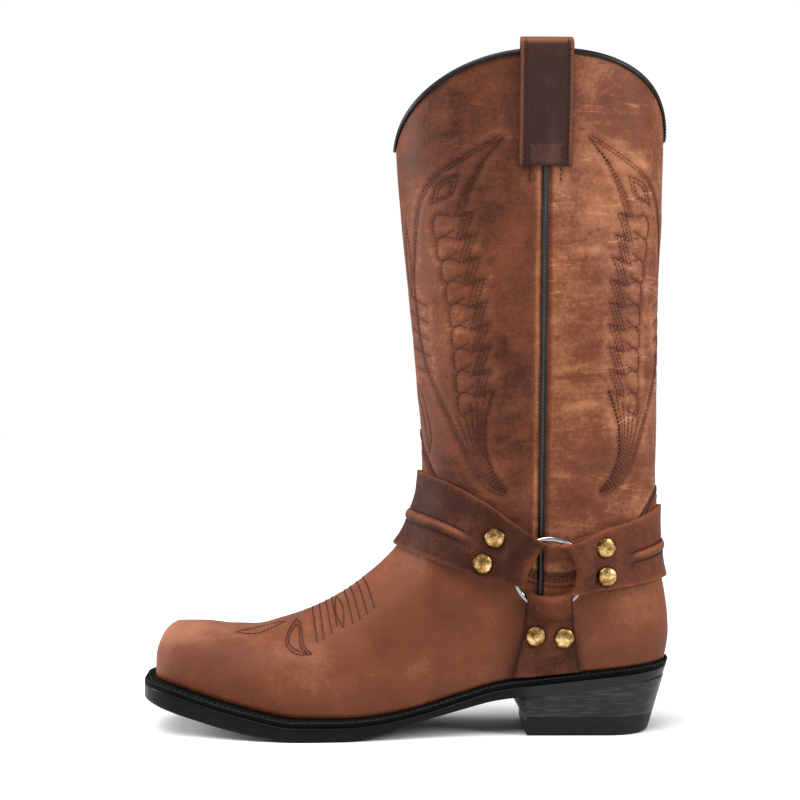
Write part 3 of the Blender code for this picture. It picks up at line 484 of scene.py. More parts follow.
# Finishes
class Tone:
    """A value in a finish's node tree; arithmetic on it adds Math nodes."""

    def __init__(self, finish, socket):
        self.finish = finish
        self.socket = socket

    def __add__(self, other):
        return self.finish.math("ADD", self, other)

    def __sub__(self, other):
        return self.finish.math("SUBTRACT", self, other)

    def __rsub__(self, other):
        return self.finish.math("SUBTRACT", other, self)

    def __mul__(self, other):
        return self.finish.math("MULTIPLY", self, other)

    def __abs__(self):
        return self.finish.math("ABSOLUTE", self)

    __radd__ = __add__
    __rmul__ = __mul__


class Finish:
    """A material, with a method for each kind of node that its surface is worked out from."""

    def __init__(self, name, constants=None):
        self.material = bpy.data.materials.new(name)
        self.material.use_nodes = True
        self.tree = self.material.node_tree
        self.shader = self.tree.nodes["Principled BSDF"]
        for socket, value in (constants or {}).items():
            self.shader.inputs[socket].default_value = value

    def node(self, kind, settings=None, sockets=None, output=0):
        node = self.tree.nodes.new(kind)
        for name, value in (settings or {}).items():
            if name == "stops":
                self.set_stops(node.color_ramp, value)
            else:
                setattr(node, name, value)
        for name, value in (sockets or {}).items():
            self.feed(node.inputs[name], value)
        return Tone(self, node.outputs[output])

    def feed(self, socket, value):
        if isinstance(value, Tone):
            self.tree.links.new(value.socket, socket)
        else:
            socket.default_value = value

    def set_stops(self, ramp, stops):
        while len(ramp.elements) < len(stops):
            ramp.elements.new(1.0)
        for element, (position, color) in zip(ramp.elements, stops):
            element.position = position
            element.color = color

    def math(self, operation, *values):
        return self.node("ShaderNodeMath", {"operation": operation}, dict(enumerate(values)))

    def place(self):
        return self.node("ShaderNodeTexCoord", output="Object")

    def stretched(self, place, scale):
        return self.node("ShaderNodeVectorMath", {"operation": "MULTIPLY"}, {0: place, 1: scale})

    def noise(self, place, scale, detail=2.0, roughness=0.55, distortion=0.0):
        sockets = {"Vector": place, "Scale": scale, "Detail": detail, "Roughness": roughness}
        return self.node("ShaderNodeTexNoise", None, {**sockets, "Distortion": distortion})

    def pebbles(self, place, scale):
        return self.node("ShaderNodeTexVoronoi", {"feature": "SMOOTH_F1"}, {"Vector": place, "Scale": scale})

    def painted(self, name):
        """A value kept on the mesh's own points."""
        return self.node("ShaderNodeAttribute", {"attribute_name": name}, output="Fac")

    def between(self, value, low, high):
        sockets = {"Value": value, "From Min": low, "From Max": high}
        return self.node("ShaderNodeMapRange", {"interpolation_type": "SMOOTHSTEP"}, sockets)

    def tones(self, value, *stops):
        return self.node("ShaderNodeValToRGB", {"stops": stops}, {"Fac": value})

    def mix(self, share, first, second, blend="MIX"):
        settings = {"data_type": "RGBA", "blend_type": blend}
        return self.node("ShaderNodeMix", settings, {0: share, 6: first, 7: second}, output=2)

    def relief(self, height, depth, strength=1.0):
        """The surface's bumps: a height between 0 and 1, and what it stands for in millimetres."""
        sockets = {"Height": height, "Distance": depth * MM, "Strength": strength}
        self.feed(self.shader.inputs["Normal"], self.node("ShaderNodeBump", None, sockets))

    def color(self, value):
        self.feed(self.shader.inputs["Base Color"], value)

    def roughness(self, value):
        self.feed(self.shader.inputs["Roughness"], value)


def srgb(red, green, blue):
    """A colour as it looks on a screen, 0 to 255, made linear."""
    share = np.array((red, green, blue)) / 255.0
    linear = np.where(share <= 0.04045, share / 12.92, ((share + 0.055) / 1.055) ** 2.4)
    return (*[float(value) for value in linear], 1.0)


def brighter(color, times):
    return (*[min(times * value, 1.0) for value in color[:3]], 1.0)


# Noises of the leather: scale, detail, roughness and distortion
LEATHER_NOISES = {
    "cloud": (22.0, 4.0, 0.55, 0.5),
    "smudge": (42.0, 2.0, 0.5, 0.6),
    "patch": (80.0, 5.0, 0.62, 0.3),
    "fleck": (480.0, 4.0, 0.7),
    "oil": (17.0, 3.0, 0.5, 0.4),
    "nap": (2100.0, 2.0, 0.7),
    "wrinkle": (190.0, 4.0, 0.62),
}
VEIN_NOISE = (10.0, 4.0, 0.55, 0.4)
STREAK_NOISE = (34.0, 4.0, 0.6, 0.5)
VEIN_STRETCH = (0.8, 0.8, 4.6)
VEIN_WIDTH = 0.011
VEINED_PATCHES = (0.40, 0.56)
STREAK_DEPTH = 0.45
PEBBLE_SCALE = 1150.0
GRAIN_DEPTH = 0.34
WARM_OIL = (0.38, (1.0, 0.96, 0.84, 1.0))
COOL_OIL = (0.62, (0.96, 0.94, 1.0, 1.0))
TONE_STOPS = (0.05, 0.5, 0.95)


def pull_up_leather(name, *browns, rough=0.55, veins=0.0, clouds=1.0, gloss=0.1):
    """Oiled leather: clouded colour, pale where it is pulled or rubbed and where a highlight is painted on,
    darkened by darker hide and by painted shade, with a fine grain.

    Its browns are a dark, a middle and a light one.
    """
    finish = Finish(name, {"Specular IOR Level": gloss})
    place = finish.place()
    field = {kind: finish.noise(place, *values) for kind, values in LEATHER_NOISES.items()}
    patch = field["patch"]
    fleck = field["fleck"] - 0.5
    calm = 1.0 - finish.painted("calm")
    mottle = (field["cloud"] - 0.5) * 0.5 + (field["smudge"] - 0.5) * 0.35 + (patch - 0.5) * 0.55
    tone = 0.5 + (mottle + fleck * 0.55) * clouds * calm
    # The mesh's pale values hold wear and painted highlights; its shade values hold darker hide and painted
    # shade
    tone = tone + finish.painted("worn") - finish.painted("shade")
    if veins:
        stretched = finish.stretched(place, VEIN_STRETCH)
        vein = abs(finish.noise(stretched, *VEIN_NOISE) - 0.5)
        line = (1.0 - finish.between(vein, 0.0, VEIN_WIDTH)) * finish.between(patch, *VEINED_PATCHES)
        streak = finish.noise(stretched, *STREAK_NOISE) - 0.5
        tone = tone + (line * veins + streak * STREAK_DEPTH) * finish.painted("creased")
    tint = finish.tones(field["oil"], WARM_OIL, COOL_OIL)
    brown = finish.tones(tone, *zip(TONE_STOPS, [srgb(*color) for color in browns]))
    finish.color(finish.mix(1.0, brown, tint, "MULTIPLY"))
    grain = finish.pebbles(place, PEBBLE_SCALE) * 0.4 + field["nap"] * 0.25 + field["wrinkle"] * 0.8
    finish.relief(grain, GRAIN_DEPTH, strength=0.7)
    finish.roughness(rough + (patch - 0.5) * 0.25 + fleck * 0.2)
    return finish.material


def trim_leather(name, color, rough):
    """Black trim, nearly smooth, pale grey where a highlight is painted on it."""
    finish = Finish(name, {"Specular IOR Level": 0.2})
    place = finish.place()
    cloud = finish.noise(place, scale=160.0, detail=3.0)
    black = finish.tones(cloud, (0.3, color), (0.8, brighter(color, 1.7)))
    # Pale grey-brown where the mesh paints a highlight
    finish.color(finish.mix(finish.painted("worn"), black, srgb(150, 140, 134)))
    finish.relief(finish.noise(place, scale=900.0), depth=0.1, strength=0.5)
    finish.roughness(rough + (cloud - 0.5) * 0.2)
    return finish.material


def thread(name, color):
    """Waxed thread, with the turn of its plies."""
    finish = Finish(name, {"Specular IOR Level": 0.12})
    place = finish.place()
    ply = finish.noise(place, scale=1400.0)
    finish.color(finish.tones(ply, (0.3, brighter(color, 0.6)), (0.75, color)))
    finish.relief(ply, depth=0.1, strength=0.6)
    finish.roughness(0.6 + (ply - 0.5) * 0.3)
    return finish.material


SCUFF_STRETCH = (0.1, 0.1, 1.0)
SCUFFED_FROM = (0.44, 0.66)


def sole_rubber(name, color, rough, scuffed, pale_tone=None, gloss=0.12):
    """Black rubber, nearly smooth, with fine scuffs along it; its second colour is laid where the mesh is
    painted pale: the heel stack's grey over the heel, a painted highlight along the welt's top edge.
    """
    finish = Finish(name, {"Specular IOR Level": gloss})
    place = finish.place()
    along = finish.stretched(place, SCUFF_STRETCH)
    scuff = finish.noise(along, scale=700.0, detail=4.0, roughness=0.65)
    cloud = finish.noise(place, scale=60.0, detail=3.0)
    base = finish.mix(finish.painted("worn"), color, pale_tone or color)
    pale = finish.mix(finish.painted("worn"), brighter(color, 2.2), brighter(pale_tone or color, 1.7))
    finish.color(finish.mix(finish.between(scuff, *SCUFFED_FROM) * scuffed, base, pale))
    finish.relief(scuff * 0.6 + finish.noise(place, scale=1300.0) * 0.4, depth=0.12, strength=0.5)
    finish.roughness(rough + (cloud - 0.5) * 0.25 + (scuff - 0.5) * 0.2)
    return finish.material


STEEL_TONES = ((0.3, (0.20, 0.195, 0.19, 1.0)), (0.7, (0.35, 0.34, 0.335, 1.0)))
BRASS_TONES = ((0.22, srgb(58, 38, 20)), (0.46, srgb(146, 112, 62)), (0.72, srgb(214, 186, 134)))


def bright_steel():
    finish = Finish("bright steel", {"Metallic": 1.0})
    place = finish.place()
    cloud = finish.noise(place, scale=220.0, detail=3.0)
    finish.color(finish.tones(cloud, *STEEL_TONES))
    finish.roughness(0.16 + (cloud - 0.5) * 0.18)
    finish.relief(finish.noise(place, scale=700.0), depth=0.05, strength=0.4)
    return finish.material


def antique_brass():
    """Brass rubbed bright on its high spots and dark in its dents."""
    finish = Finish("antique brass", {"Metallic": 1.0})
    place = finish.place()
    dents = finish.noise(place, scale=260.0, roughness=0.5)
    fine = finish.noise(place, scale=1100.0, detail=3.0, roughness=0.65)
    tone = dents + (fine - 0.5) * 0.7 - finish.painted("shade") * 0.35
    finish.color(finish.tones(tone, *BRASS_TONES))
    finish.relief(dents * 0.85 + fine * 0.15, depth=0.45, strength=0.6)
    finish.roughness(0.3 - (dents - 0.5) * 0.3)
    return finish.material


def white_ground():
    finish = Finish("white ground", {"Roughness": 0.9, "Specular IOR Level": 0.1})
    finish.color((0.70, 0.70, 0.70, 1.0))
    return finish.material


BROWN = pull_up_leather("brown pull-up leather", (51, 25, 15), (94, 52, 34), (145, 98, 71), veins=0.22)
LINING = pull_up_leather("lining leather", (120, 84, 58), (160, 120, 86), (186, 148, 112), rough=0.7)
STRAP_BROWN = pull_up_leather(
    "strap leather", (28, 13, 9), (47, 23, 15), (110, 62, 41), clouds=0.6, gloss=0.07,
)
STRAP_EDGE = pull_up_leather(
    "strap edge", (46, 24, 16), (74, 40, 26), (120, 72, 46), clouds=0.6, gloss=0.07,
)
LOOP_BROWN = pull_up_leather("pull strap leather", (30, 18, 16), (45, 27, 24), (108, 66, 44), clouds=0.35)
TRIM_BLACK = trim_leather("black trim", srgb(9, 7, 6), 0.42)
BROWN_THREAD = thread("dark brown thread", srgb(64, 31, 21))
BLACK_THREAD = thread("black thread", srgb(14, 14, 13))
STACK_GREY = srgb(30, 30, 30)
# The welt's second colour is a painted highlight along its top edge
WELT_BLACK = sole_rubber("black welt", srgb(5, 5, 5), 0.75, 0.3, srgb(66, 66, 66), gloss=0.04)
SOLE_BLACK = sole_rubber("black sole edge", srgb(8, 8, 8), 0.36, 0.4, STACK_GREY, gloss=0.09)
STACK_BLACK = sole_rubber("black heel stack", STACK_GREY, 0.36, 1.0)
CAP_BLACK = sole_rubber("heel cap rubber", srgb(17, 17, 17), 0.5, 0.3)
STEEL = bright_steel()
BRASS = antique_brass()


# Mesh helpers
WELD_DISTANCE = 0.005


def welded(bm):
    """The mesh with the points that meet made one."""
    bmesh.ops.remove_doubles(bm, verts=bm.verts, dist=WELD_DISTANCE * MM)
    return bm


def turned_out(bm):
    bmesh.ops.recalc_face_normals(bm, faces=bm.faces)
    return bm


def grid_mesh(points, **paints):
    """A mesh through a grid of points, with values painted on them."""
    rows, columns = points.shape[:2]
    bm = bmesh.new()
    bmesh.ops.create_grid(bm, x_segments=columns - 1, y_segments=rows - 1, size=1.0)
    layers = {name: bm.verts.layers.float.new(name) for name in paints}
    flat = {name: np.broadcast_to(value, (rows, columns)).ravel() for name, value in paints.items()}
    for i, (vert, place) in enumerate(zip(bm.verts, points.reshape(-1, 3) * MM)):
        vert.co = place
        for name, layer in layers.items():
            vert[layer] = flat[name][i]
    return welded(bm)


def closed(loops, axis=1):
    """Points with the first ones repeated at the end, so that a skin or a line closes."""
    return np.concatenate([loops, np.take(loops, [0], axis=axis)], axis=axis)


def capped(bm):
    """The mesh with its open ends filled and its faces turned outwards."""
    bmesh.ops.holes_fill(bm, edges=[edge for edge in bm.edges if edge.is_boundary])
    return turned_out(bm)


def linked(name, data):
    thing = bpy.data.objects.new(name, data)
    bpy.context.scene.collection.objects.link(thing)
    return thing


def mesh_of(name, bm):
    mesh = bpy.data.meshes.new(name)
    bm.to_mesh(mesh)
    bm.free()
    return mesh


def finished(mesh, finishes, slot, *nodes):
    """A piece of the mesh's name that rides on the boot and stands for the solids named."""
    for finish in finishes:
        mesh.materials.append(finish)
    mesh.shade_smooth()
    made = linked(mesh.name, mesh)
    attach(made, "root")
    if nodes:
        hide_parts(*nodes)
    return made


def piece(name, bm, finishes, slot, *nodes):
    return finished(mesh_of(name, bm), finishes, slot, *nodes)


def sharp_edges(made, degrees):
    made.data.set_sharp_from_angle(angle=math.radians(degrees))
    return made


EDGE_BEVELS = 2
EDGE_ANGLE = 50.0


def thick_leather(made, thickness, edge_round):
    """A sheet made into leather of a thickness, with its cut edges rounded and in the second finish."""
    wall = made.modifiers.new("thickness", "SOLIDIFY")
    wall.thickness = thickness * MM
    wall.offset = 0.0
    wall.material_offset_rim = 1
    edge = made.modifiers.new("edge", "BEVEL")
    edge.width = edge_round * MM
    edge.segments = EDGE_BEVELS
    edge.limit_method = "ANGLE"
    edge.angle_limit = math.radians(EDGE_ANGLE)
    return made


def surface_of(made):
    """The finished surface of a piece, for laying stitches on."""
    return BVHTree.FromObject(made, bpy.context.evaluated_depsgraph_get())


def resampled(points, spacing):
    """Points along a polyline at an even spacing."""
    lengths = run_lengths(points)
    count = max(int(round(lengths[-1] / spacing)), 1)
    at = np.linspace(0.0, lengths[-1], count + 1)
    return np.stack([np.interp(at, lengths, points[:, axis]) for axis in range(3)], axis=-1)


THREAD_SIDES = 6
THREAD_RINGS = 4
THREAD_LIFT = 0.08
# Middle of the leg, and how far forward its faces are known to look away from it
LEG_MIDDLE_X = 75.0
LEG_FRONT_X = 12.0


def stitch_shape():
    """One stitch of unit size, lying along X."""
    bm = bmesh.new()
    turn = Matrix.Rotation(math.pi / 2, 4, "Y")
    bmesh.ops.create_uvsphere(bm, u_segments=THREAD_SIDES, v_segments=THREAD_RINGS, radius=0.5, matrix=turn)
    places = np.array([vert.co for vert in bm.verts])
    faces = [[vert.index for vert in face.verts] for face in bm.faces]
    bm.free()
    return places, faces


def sew(name, surface, runs, finish, slot, pitch, thread_width, cover=0.78):
    """Rows of stitches laid on a surface, all in one mesh."""
    shape, shape_faces = stitch_shape()
    verts = []
    faces = []
    for run in runs:
        holes = resampled(run, pitch)
        for start, end in zip(holes, holes[1:]):
            middle = (start + end) / 2
            place, normal, _, _ = surface.find_nearest(Vector(middle) * MM)
            normal = np.array(normal)
            outward = middle - np.array((LEG_MIDDLE_X, 0.0, middle[2]))
            if normal.dot(outward) < 0 and middle[0] > LEG_FRONT_X:
                normal = -normal
            along = end - start
            length = np.linalg.norm(along)
            along = unit(along - normal * along.dot(normal))
            across = np.cross(normal, along)
            axes = np.stack([along * length * cover, across * thread_width, normal * thread_width])
            base = len(verts) * len(shape)
            verts.append((shape @ axes + normal * THREAD_LIFT) * MM + np.array(place))
            faces += [[base + corner for corner in face] for face in shape_faces]
    mesh = bpy.data.meshes.new(name)
    mesh.from_pydata(np.concatenate(verts).tolist(), [], faces)
    return finished(mesh, (finish,), slot)


# Stitched patterns of the shaft and the vamp
LINE_SPACING = 1.5
FINE_SPACING = 0.8


def through(points, spacing=LINE_SPACING, curve=smooth_curve):
    """A smooth line through points of a pattern, as many places along it."""
    points = np.array(points, dtype=float)
    lengths = run_lengths(points)
    at = np.linspace(0.0, lengths[-1], max(int(lengths[-1] / spacing), 2))
    return np.stack([curve(lengths, column)(at) for column in points.T], axis=-1)


def broken_line(stations, values):
    """A function that runs straight from value to value."""
    return lambda position: np.interp(position, stations, values)


def straight(points, spacing=LINE_SPACING):
    """The same with straight lines from point to point."""
    return through(points, spacing, broken_line)


def shifted(places, distance):
    """The same line moved sideways."""
    along = unit(np.gradient(places, axis=0))
    return places + np.stack([-along[:, 1], along[:, 0]], axis=-1) * distance


# One wing of the shaft's front panel, by angle round the leg and height
WING_OUTER = (
    (103.0, 338.0), (113.5, 331.0), (125.0, 323.5), (135.5, 317.0), (143.0, 309.5), (149.0, 300.0),
    (156.5, 277.0), (161.5, 254.0), (161.0, 232.0), (155.0, 210.0), (144.0, 190.0), (137.0, 176.0),
    (131.0, 163.0), (125.0, 151.5), (119.0, 144.5), (113.3, 140.0), (108.5, 138.6),
)
WING_TEETH = 9
TOOTH_STEP = 12.6
TOOTH_TOP_Z = 297.0
TOOTH_TIP_ANGLE = 117.6
TOOTH_REACH = 6.0
TOOTH_DROP = 17.0
TOOTH_LEAN = 4.2
TOOTH_LEAN_OVER = (0.0, 4.0)
WING_ROW_GAP = 1.7
ZIGZAG_ROW_GAP = 2.0
CRESCENT_ROWS = 6
PANEL_MIRROR = 170.0
WING_TOP = WING_OUTER[0]
WING_END = WING_OUTER[-1]
WING_TAIL = ((116.8, 186.0), (119.8, 173.0), (119.6, 161.0), (116.0, 150.0), WING_END)
TAIL_ROW_GAP = 0.8
TAIL_SHARE = 0.22
# The toothed edge above its teeth: angle, how far it moves aside with its row, and height
ZIGZAG_START = ((111.5, 0.3, 325.0), (118.6, 0.7, 309.0), (TOOTH_TIP_ANGLE + TOOTH_REACH, 1.0, 293.5))
ZIGZAG_ROWS = 3
# Leaves in the wing's shoulder: their two ends, and how far they bow out for their breadth
SHOULDER_LEAVES = (((124.0, 317.5), (140.0, 302.0)), ((127.0, 314.5), (137.0, 304.0)))
LEAF_BOW = 0.22
# Feathers behind the teeth: share of the reach and rise of each point, where a feather starts from its
# tooth and ends from its own start, and its reach with how much that shrinks from tooth to tooth
FEATHER_LINE = ((0.0, 0.0), (0.6, 1.5), (1.0, -3.5), (1.0, -8.5), (0.8, -12.5), (0.35, -10.5))
FEATHER_START = (1.5, -2.5)
FEATHER_END = (-1.0, -8.0)
FEATHER_REACH = (11.0, 0.35)
# Barbs between the feathers and the front: where each ends, and where they start, step by step
BARB_ENDS = ((171.0, 252.0), (173.0, 243.0), (173.0, 233.0), (172.0, 222.0), (170.0, 210.0))
BARB_START = np.array((150.0, 244.0))
BARB_STEP = np.array((0.6, -9.5))
CURLS = (
    ((166.0, 292.0), (172.0, 270.0), (168.0, 250.0)),
    ((166.0, 292.0), (164.0, 272.0), (168.0, 250.0)),
    ((172.0, 200.0), (163.0, 190.0), (158.0, 170.0), (162.0, 160.0)),
    ((176.0, 196.0), (168.0, 186.0), (162.0, 160.0)),
)


def tooth_lean(tooth):
    """How far a tooth stands back from the first one."""
    return TOOTH_LEAN * float(smooth_step(*TOOTH_LEAN_OVER, tooth))


def zigzag_row(row):
    """One row of the wing's toothed edge, from its top tip down; the rows lie side by side."""
    aside = ZIGZAG_ROW_GAP * row
    edge = [WING_TOP] + [(angle + share * aside, z) for angle, share, z in ZIGZAG_START]
    for tooth in range(WING_TEETH):
        z = TOOTH_TOP_Z - TOOTH_STEP * tooth
        tip = TOOTH_TIP_ANGLE + aside - tooth_lean(tooth)
        edge += [(tip, z), (tip + TOOTH_REACH, z - TOOTH_DROP)]
    return edge[:-1]


def feather_line(tooth):
    """The feather behind one tooth of the wing."""
    inner = TOOTH_TIP_ANGLE + TOOTH_REACH + 2 * ZIGZAG_ROW_GAP - tooth_lean(tooth)
    root = inner + FEATHER_START[0]
    z = TOOTH_TOP_Z - TOOTH_STEP * tooth + FEATHER_START[1]
    reach = FEATHER_REACH[0] - FEATHER_REACH[1] * tooth
    points = [(root + share * reach, z + rise) for share, rise in FEATHER_LINE]
    return through(points + [(root + FEATHER_END[0], z + FEATHER_END[1])])


def wing_lines():
    """A wing as (angle, height) lines: its double rows with its fine rows, and the tail's edge."""
    outer = through(WING_OUTER)
    rows = [zigzag_row(row) for row in range(ZIGZAG_ROWS)]
    crescent = through([rows[0][-1], *WING_TAIL])
    lines = [outer, shifted(outer, WING_ROW_GAP)] + [straight(row, FINE_SPACING) for row in rows]
    for ends in np.array(SHOULDER_LEAVES):
        bow = LEAF_BOW * (ends[1, 0] - ends[0, 0])
        lines += [through([ends[0], ends.mean(axis=0) + side * bow, ends[1]]) for side in (1, -1)]
    lines += [feather_line(tooth) for tooth in range(WING_TEETH)]
    lines += [straight([BARB_START + BARB_STEP * step, end]) for step, end in enumerate(BARB_ENDS)]
    lines += [through(curl) for curl in CURLS]
    inside = outer[-int(len(outer) * TAIL_SHARE):]
    start = crescent[np.linspace(0, len(crescent) - 1, len(inside)).astype(int)]
    shares = [row / CRESCENT_ROWS for row in range(1, CRESCENT_ROWS)]
    lines += [start * share + inside * (1 - share) for share in shares]
    return lines, [crescent, shifted(crescent, -TAIL_ROW_GAP)]


def on_leg(lines, side, mirrored):
    """Lines of a panel laid on the leg; the back panel's are the front panel's mirrored."""
    runs = []
    for line in lines:
        angle = PANEL_MIRROR - line[:, 0] if mirrored else line[:, 0]
        runs.append(leg_points(np.clip(angle, 0.5, 179.5), line[:, 1], side, np.zeros(len(line))))
    return runs


# Wrinkle stitches over the vamp: place on the ridge, lean toward the heel and depth down the side
VAMP_WRINKLES = (
    (-55.2, 4.6, 17.5), (-51.2, 4.4, 18.5), (-47.4, 5.0, 17.5), (-44.0, 4.4, 15.5),
    (-36.8, 6.4, 20.0), (-33.4, 7.0, 20.5), (-29.6, 7.2, 20.5), (-26.0, 7.6, 20.5),
)
VAMP_LINE_POINTS = 14
WRINKLE_POWER = 1.5
# Leaf between the wrinkles: start and run along the foot, start and depth of its drop, and its bulge
LEAF_X = (-41.2, 5.2)
LEAF_DROP = (0.4, 17.5)
LEAF_POWER = 1.3
LEAF_BULGE = 2.08
# Drops toward the toe, back and front edge: place along the foot and drop from the ridge, and how far
# each of these moves with the inset of the row
DROP_TIP = (-53.4, -1.6, 22.5, -0.8)
DROP_TOP = (-63.6, 0.4, 1.4, 1.6)
DROP_EDGES = (
    (
        DROP_TOP, (-67.8, 1.0, 6.5, 0.4), (-68.6, 1.0, 10.5, 0.0), (-66.0, 1.0, 15.5, -0.4),
        (-60.5, 0.3, 19.8, -1.0), DROP_TIP,
    ),
    (DROP_TOP, (-60.6, -0.6, 5.0, 0.6), (-59.4, -1.0, 10.5, 0.0), (-58.2, -1.0, 16.0, 0.0), DROP_TIP),
)
DROP_INSETS = (0.0, 1.5)
# Slim leaves over the toe: start and run along the foot, start and run of the drop, and their bulges
SLIM_LEAF_X = (-99.0, 29.0)
SLIM_LEAF_DROP = (1.8, -0.8)
SLIM_LEAF_BULGES = (-1.1, 1.0)


def vamp_run(places, side):
    """A line over the vamp, from places along the foot and drops from its ridge."""
    x, drop = np.array(places, dtype=float).T
    z = top_z(x) - np.maximum(drop, 0.02)
    return skewed(xyz(x, side * upper_breadth(x, z, side), z))


def vamp_lines():
    """Wrinkles across the vamp, with a leaf, a pair of drops and two slim leaves toward the toe."""
    reach = np.linspace(0.0, 1.0, VAMP_LINE_POINTS)
    swell = np.sin(math.pi * reach)
    runs = []
    for x, lean, depth in VAMP_WRINKLES:
        places = np.column_stack([x + lean * reach, depth * reach ** WRINKLE_POWER])
        lateral, medial = (vamp_run(places, side) for side in SIDES)
        runs.append(np.concatenate([lateral[::-1], medial[1:]]))
    lines = []
    for bulge in (-LEAF_BULGE, LEAF_BULGE):
        x = LEAF_X[0] + LEAF_X[1] * reach + bulge * swell
        lines.append(np.column_stack([x, LEAF_DROP[0] + LEAF_DROP[1] * reach ** LEAF_POWER]))
    for inset in DROP_INSETS:
        for edge in DROP_EDGES:
            places = [(x + dx * inset, drop + deeper * inset) for x, dx, drop, deeper in edge]
            lines.append(through(places, FINE_SPACING))
    for bulge in SLIM_LEAF_BULGES:
        drop = SLIM_LEAF_DROP[0] + SLIM_LEAF_DROP[1] * reach + bulge * swell
        lines.append(np.column_stack([SLIM_LEAF_X[0] + SLIM_LEAF_X[1] * reach, drop]))
    return runs + [vamp_run(line, side) for side in SIDES for line in lines]


# Creases of the shaft: side, start and end (angle, height), half width and height of the fold
CREASES = (
    (LATERAL, (76.0, 273.0), (58.0, 276.0), 2.4, 0.55),
    (LATERAL, (80.0, 262.0), (62.0, 259.0), 4.5, -0.40),
    (LATERAL, (84.0, 206.0), (60.0, 212.0), 2.2, 0.60),
    (LATERAL, (82.0, 199.0), (66.0, 196.0), 5.0, -0.55),
    (LATERAL, (80.0, 186.0), (60.0, 189.0), 2.2, 0.60),
    (LATERAL, (84.0, 176.0), (60.0, 172.0), 6.0, -0.40),
    (LATERAL, (84.0, 148.0), (58.0, 144.0), 2.4, 0.45),
    (LATERAL, (95.0, 212.0), (122.0, 197.0), 2.2, 0.60),
    (LATERAL, (95.0, 205.0), (122.0, 188.0), 7.0, -0.60),
    (LATERAL, (94.0, 190.0), (112.0, 182.0), 2.4, 0.30),
    (LATERAL, (94.0, 174.0), (112.0, 161.0), 2.4, 0.55),
    (LATERAL, (96.0, 164.0), (120.0, 150.0), 7.0, -0.50),
    (LATERAL, (60.0, 330.0), (30.0, 322.0), 5.0, 0.40),
    (LATERAL, (100.0, 258.0), (118.0, 246.0), 6.0, -0.35),
    (MEDIAL, (78.0, 268.0), (60.0, 263.0), 2.6, 0.50),
    (MEDIAL, (82.0, 232.0), (62.0, 238.0), 5.0, -0.45),
    (MEDIAL, (80.0, 192.0), (60.0, 187.0), 2.4, 0.60),
    (MEDIAL, (84.0, 180.0), (58.0, 176.0), 6.0, -0.50),
    (MEDIAL, (98.0, 218.0), (120.0, 204.0), 4.5, 0.60),
    (MEDIAL, (98.0, 208.0), (122.0, 194.0), 7.0, -0.55),
    (MEDIAL, (96.0, 166.0), (116.0, 154.0), 5.0, 0.55),
    (MEDIAL, (62.0, 152.0), (84.0, 146.0), 2.6, 0.45),
)
# Flex creases of the vamp in side view: start and end (x, z), half width and height
VAMP_CREASES = (
    ((-44.0, 52.0), (-28.0, 26.0), 4.0, -0.45),
    ((-30.0, 58.0), (-12.0, 30.0), 5.0, 0.40),
    ((-14.0, 66.0), (6.0, 38.0), 5.0, -0.45),
    ((4.0, 74.0), (26.0, 46.0), 5.5, 0.40),
)


CREASE_START = (-0.15, 0.3)
CREASE_END = (0.7, 1.15)


def line_bell(first, second, start, end, width):
    """A soft fold along a short line, fading at both of its ends."""
    run = np.array(end) - np.array(start)
    length = np.linalg.norm(run)
    run = run / length
    along = ((first - start[0]) * run[0] + (second - start[1]) * run[1]) / length
    away = (first - start[0]) * run[1] - (second - start[1]) * run[0]
    return bell(away, width) * smooth_step(*CREASE_START, along) * (1 - smooth_step(*CREASE_END, along))


def crease_heights(points, turns):
    """Soft troughs and ridges over the upper, from the tables of creases."""
    lift = np.zeros(points.shape[:2])
    side = np.where(np.sin(turns) >= 0, MEDIAL, LATERAL)[None, :]
    angle = np.degrees(np.where(turns <= math.pi, turns, 2 * math.pi - turns))[None, :]
    for crease_side, start, end, width, height in CREASES:
        lift += height * (side == crease_side) * line_bell(angle, points[..., 2], start, end, width)
    for start, end, width, height in VAMP_CREASES:
        lift += height * line_bell(points[..., 0], points[..., 2], start, end, width)
    return lift


# The upper
VAMP_EDGE_ROWS = (6.94, 6.97, 6.99, 8.02, 8.06)
# Patches of the hide in side view: place, reach along and up, and how much darker
PATCHES = (
    (-106.0, 46.0, 16.0, 9.0, 0.16), (-92.0, 30.0, 10.0, 7.0, 0.10), (-60.0, 32.0, 16.0, 9.0, -0.05),
    (-14.0, 62.0, 18.0, 20.0, 0.12), (22.0, 66.0, 16.0, 16.0, 0.12), (56.0, 205.0, 14.0, 22.0, 0.12),
    (60.0, 172.0, 12.0, 14.0, 0.12), (40.0, 300.0, 16.0, 18.0, 0.08), (58.0, 335.0, 10.0, 22.0, 0.10),
    (98.0, 206.0, 12.0, 10.0, 0.20), (122.0, 355.0, 18.0, 15.0, 0.20), (118.0, 152.0, 18.0, 20.0, 0.22),
    (-60.0, 48.0, 18.0, 8.0, -0.10), (104.0, 300.0, 16.0, 34.0, -0.12), (100.0, 250.0, 14.0, 16.0, -0.10),
    (22.0, 270.0, 12.0, 26.0, -0.12), (20.0, 220.0, 14.0, 20.0, -0.10), (128.0, 72.0, 14.0, 14.0, -0.08),
    (66.0, 140.0, 14.0, 8.0, -0.10), (24.0, 150.0, 14.0, 14.0, 0.22), (19.0, 333.0, 16.0, 16.0, 0.13),
    (36.0, 356.0, 18.0, 12.0, 0.06), (13.0, 82.0, 16.0, 14.0, 0.06),
)
QUILT_DEPTH = 0.4
QUILT_WIDTH = 1.1
QUILT_PUFF = 0.18
SEAM_RIDGE = 0.7
SEAM_RIDGE_AT = 4.2
SEAM_RIDGE_WIDTH = 1.7
WAVE_HEIGHT = 0.35
WAVE_LENGTH = 26.0
# Rows of the upper over which its relief begins above the welt, and ends below the collar
RELIEF_START = (0.0, 1.5)
RELIEF_END = (9.6, 10.0)
VAMP_CUT_END = 8.03
FOOT_FADE = (8.0, 6.5)
MARK_SPACING = 0.8
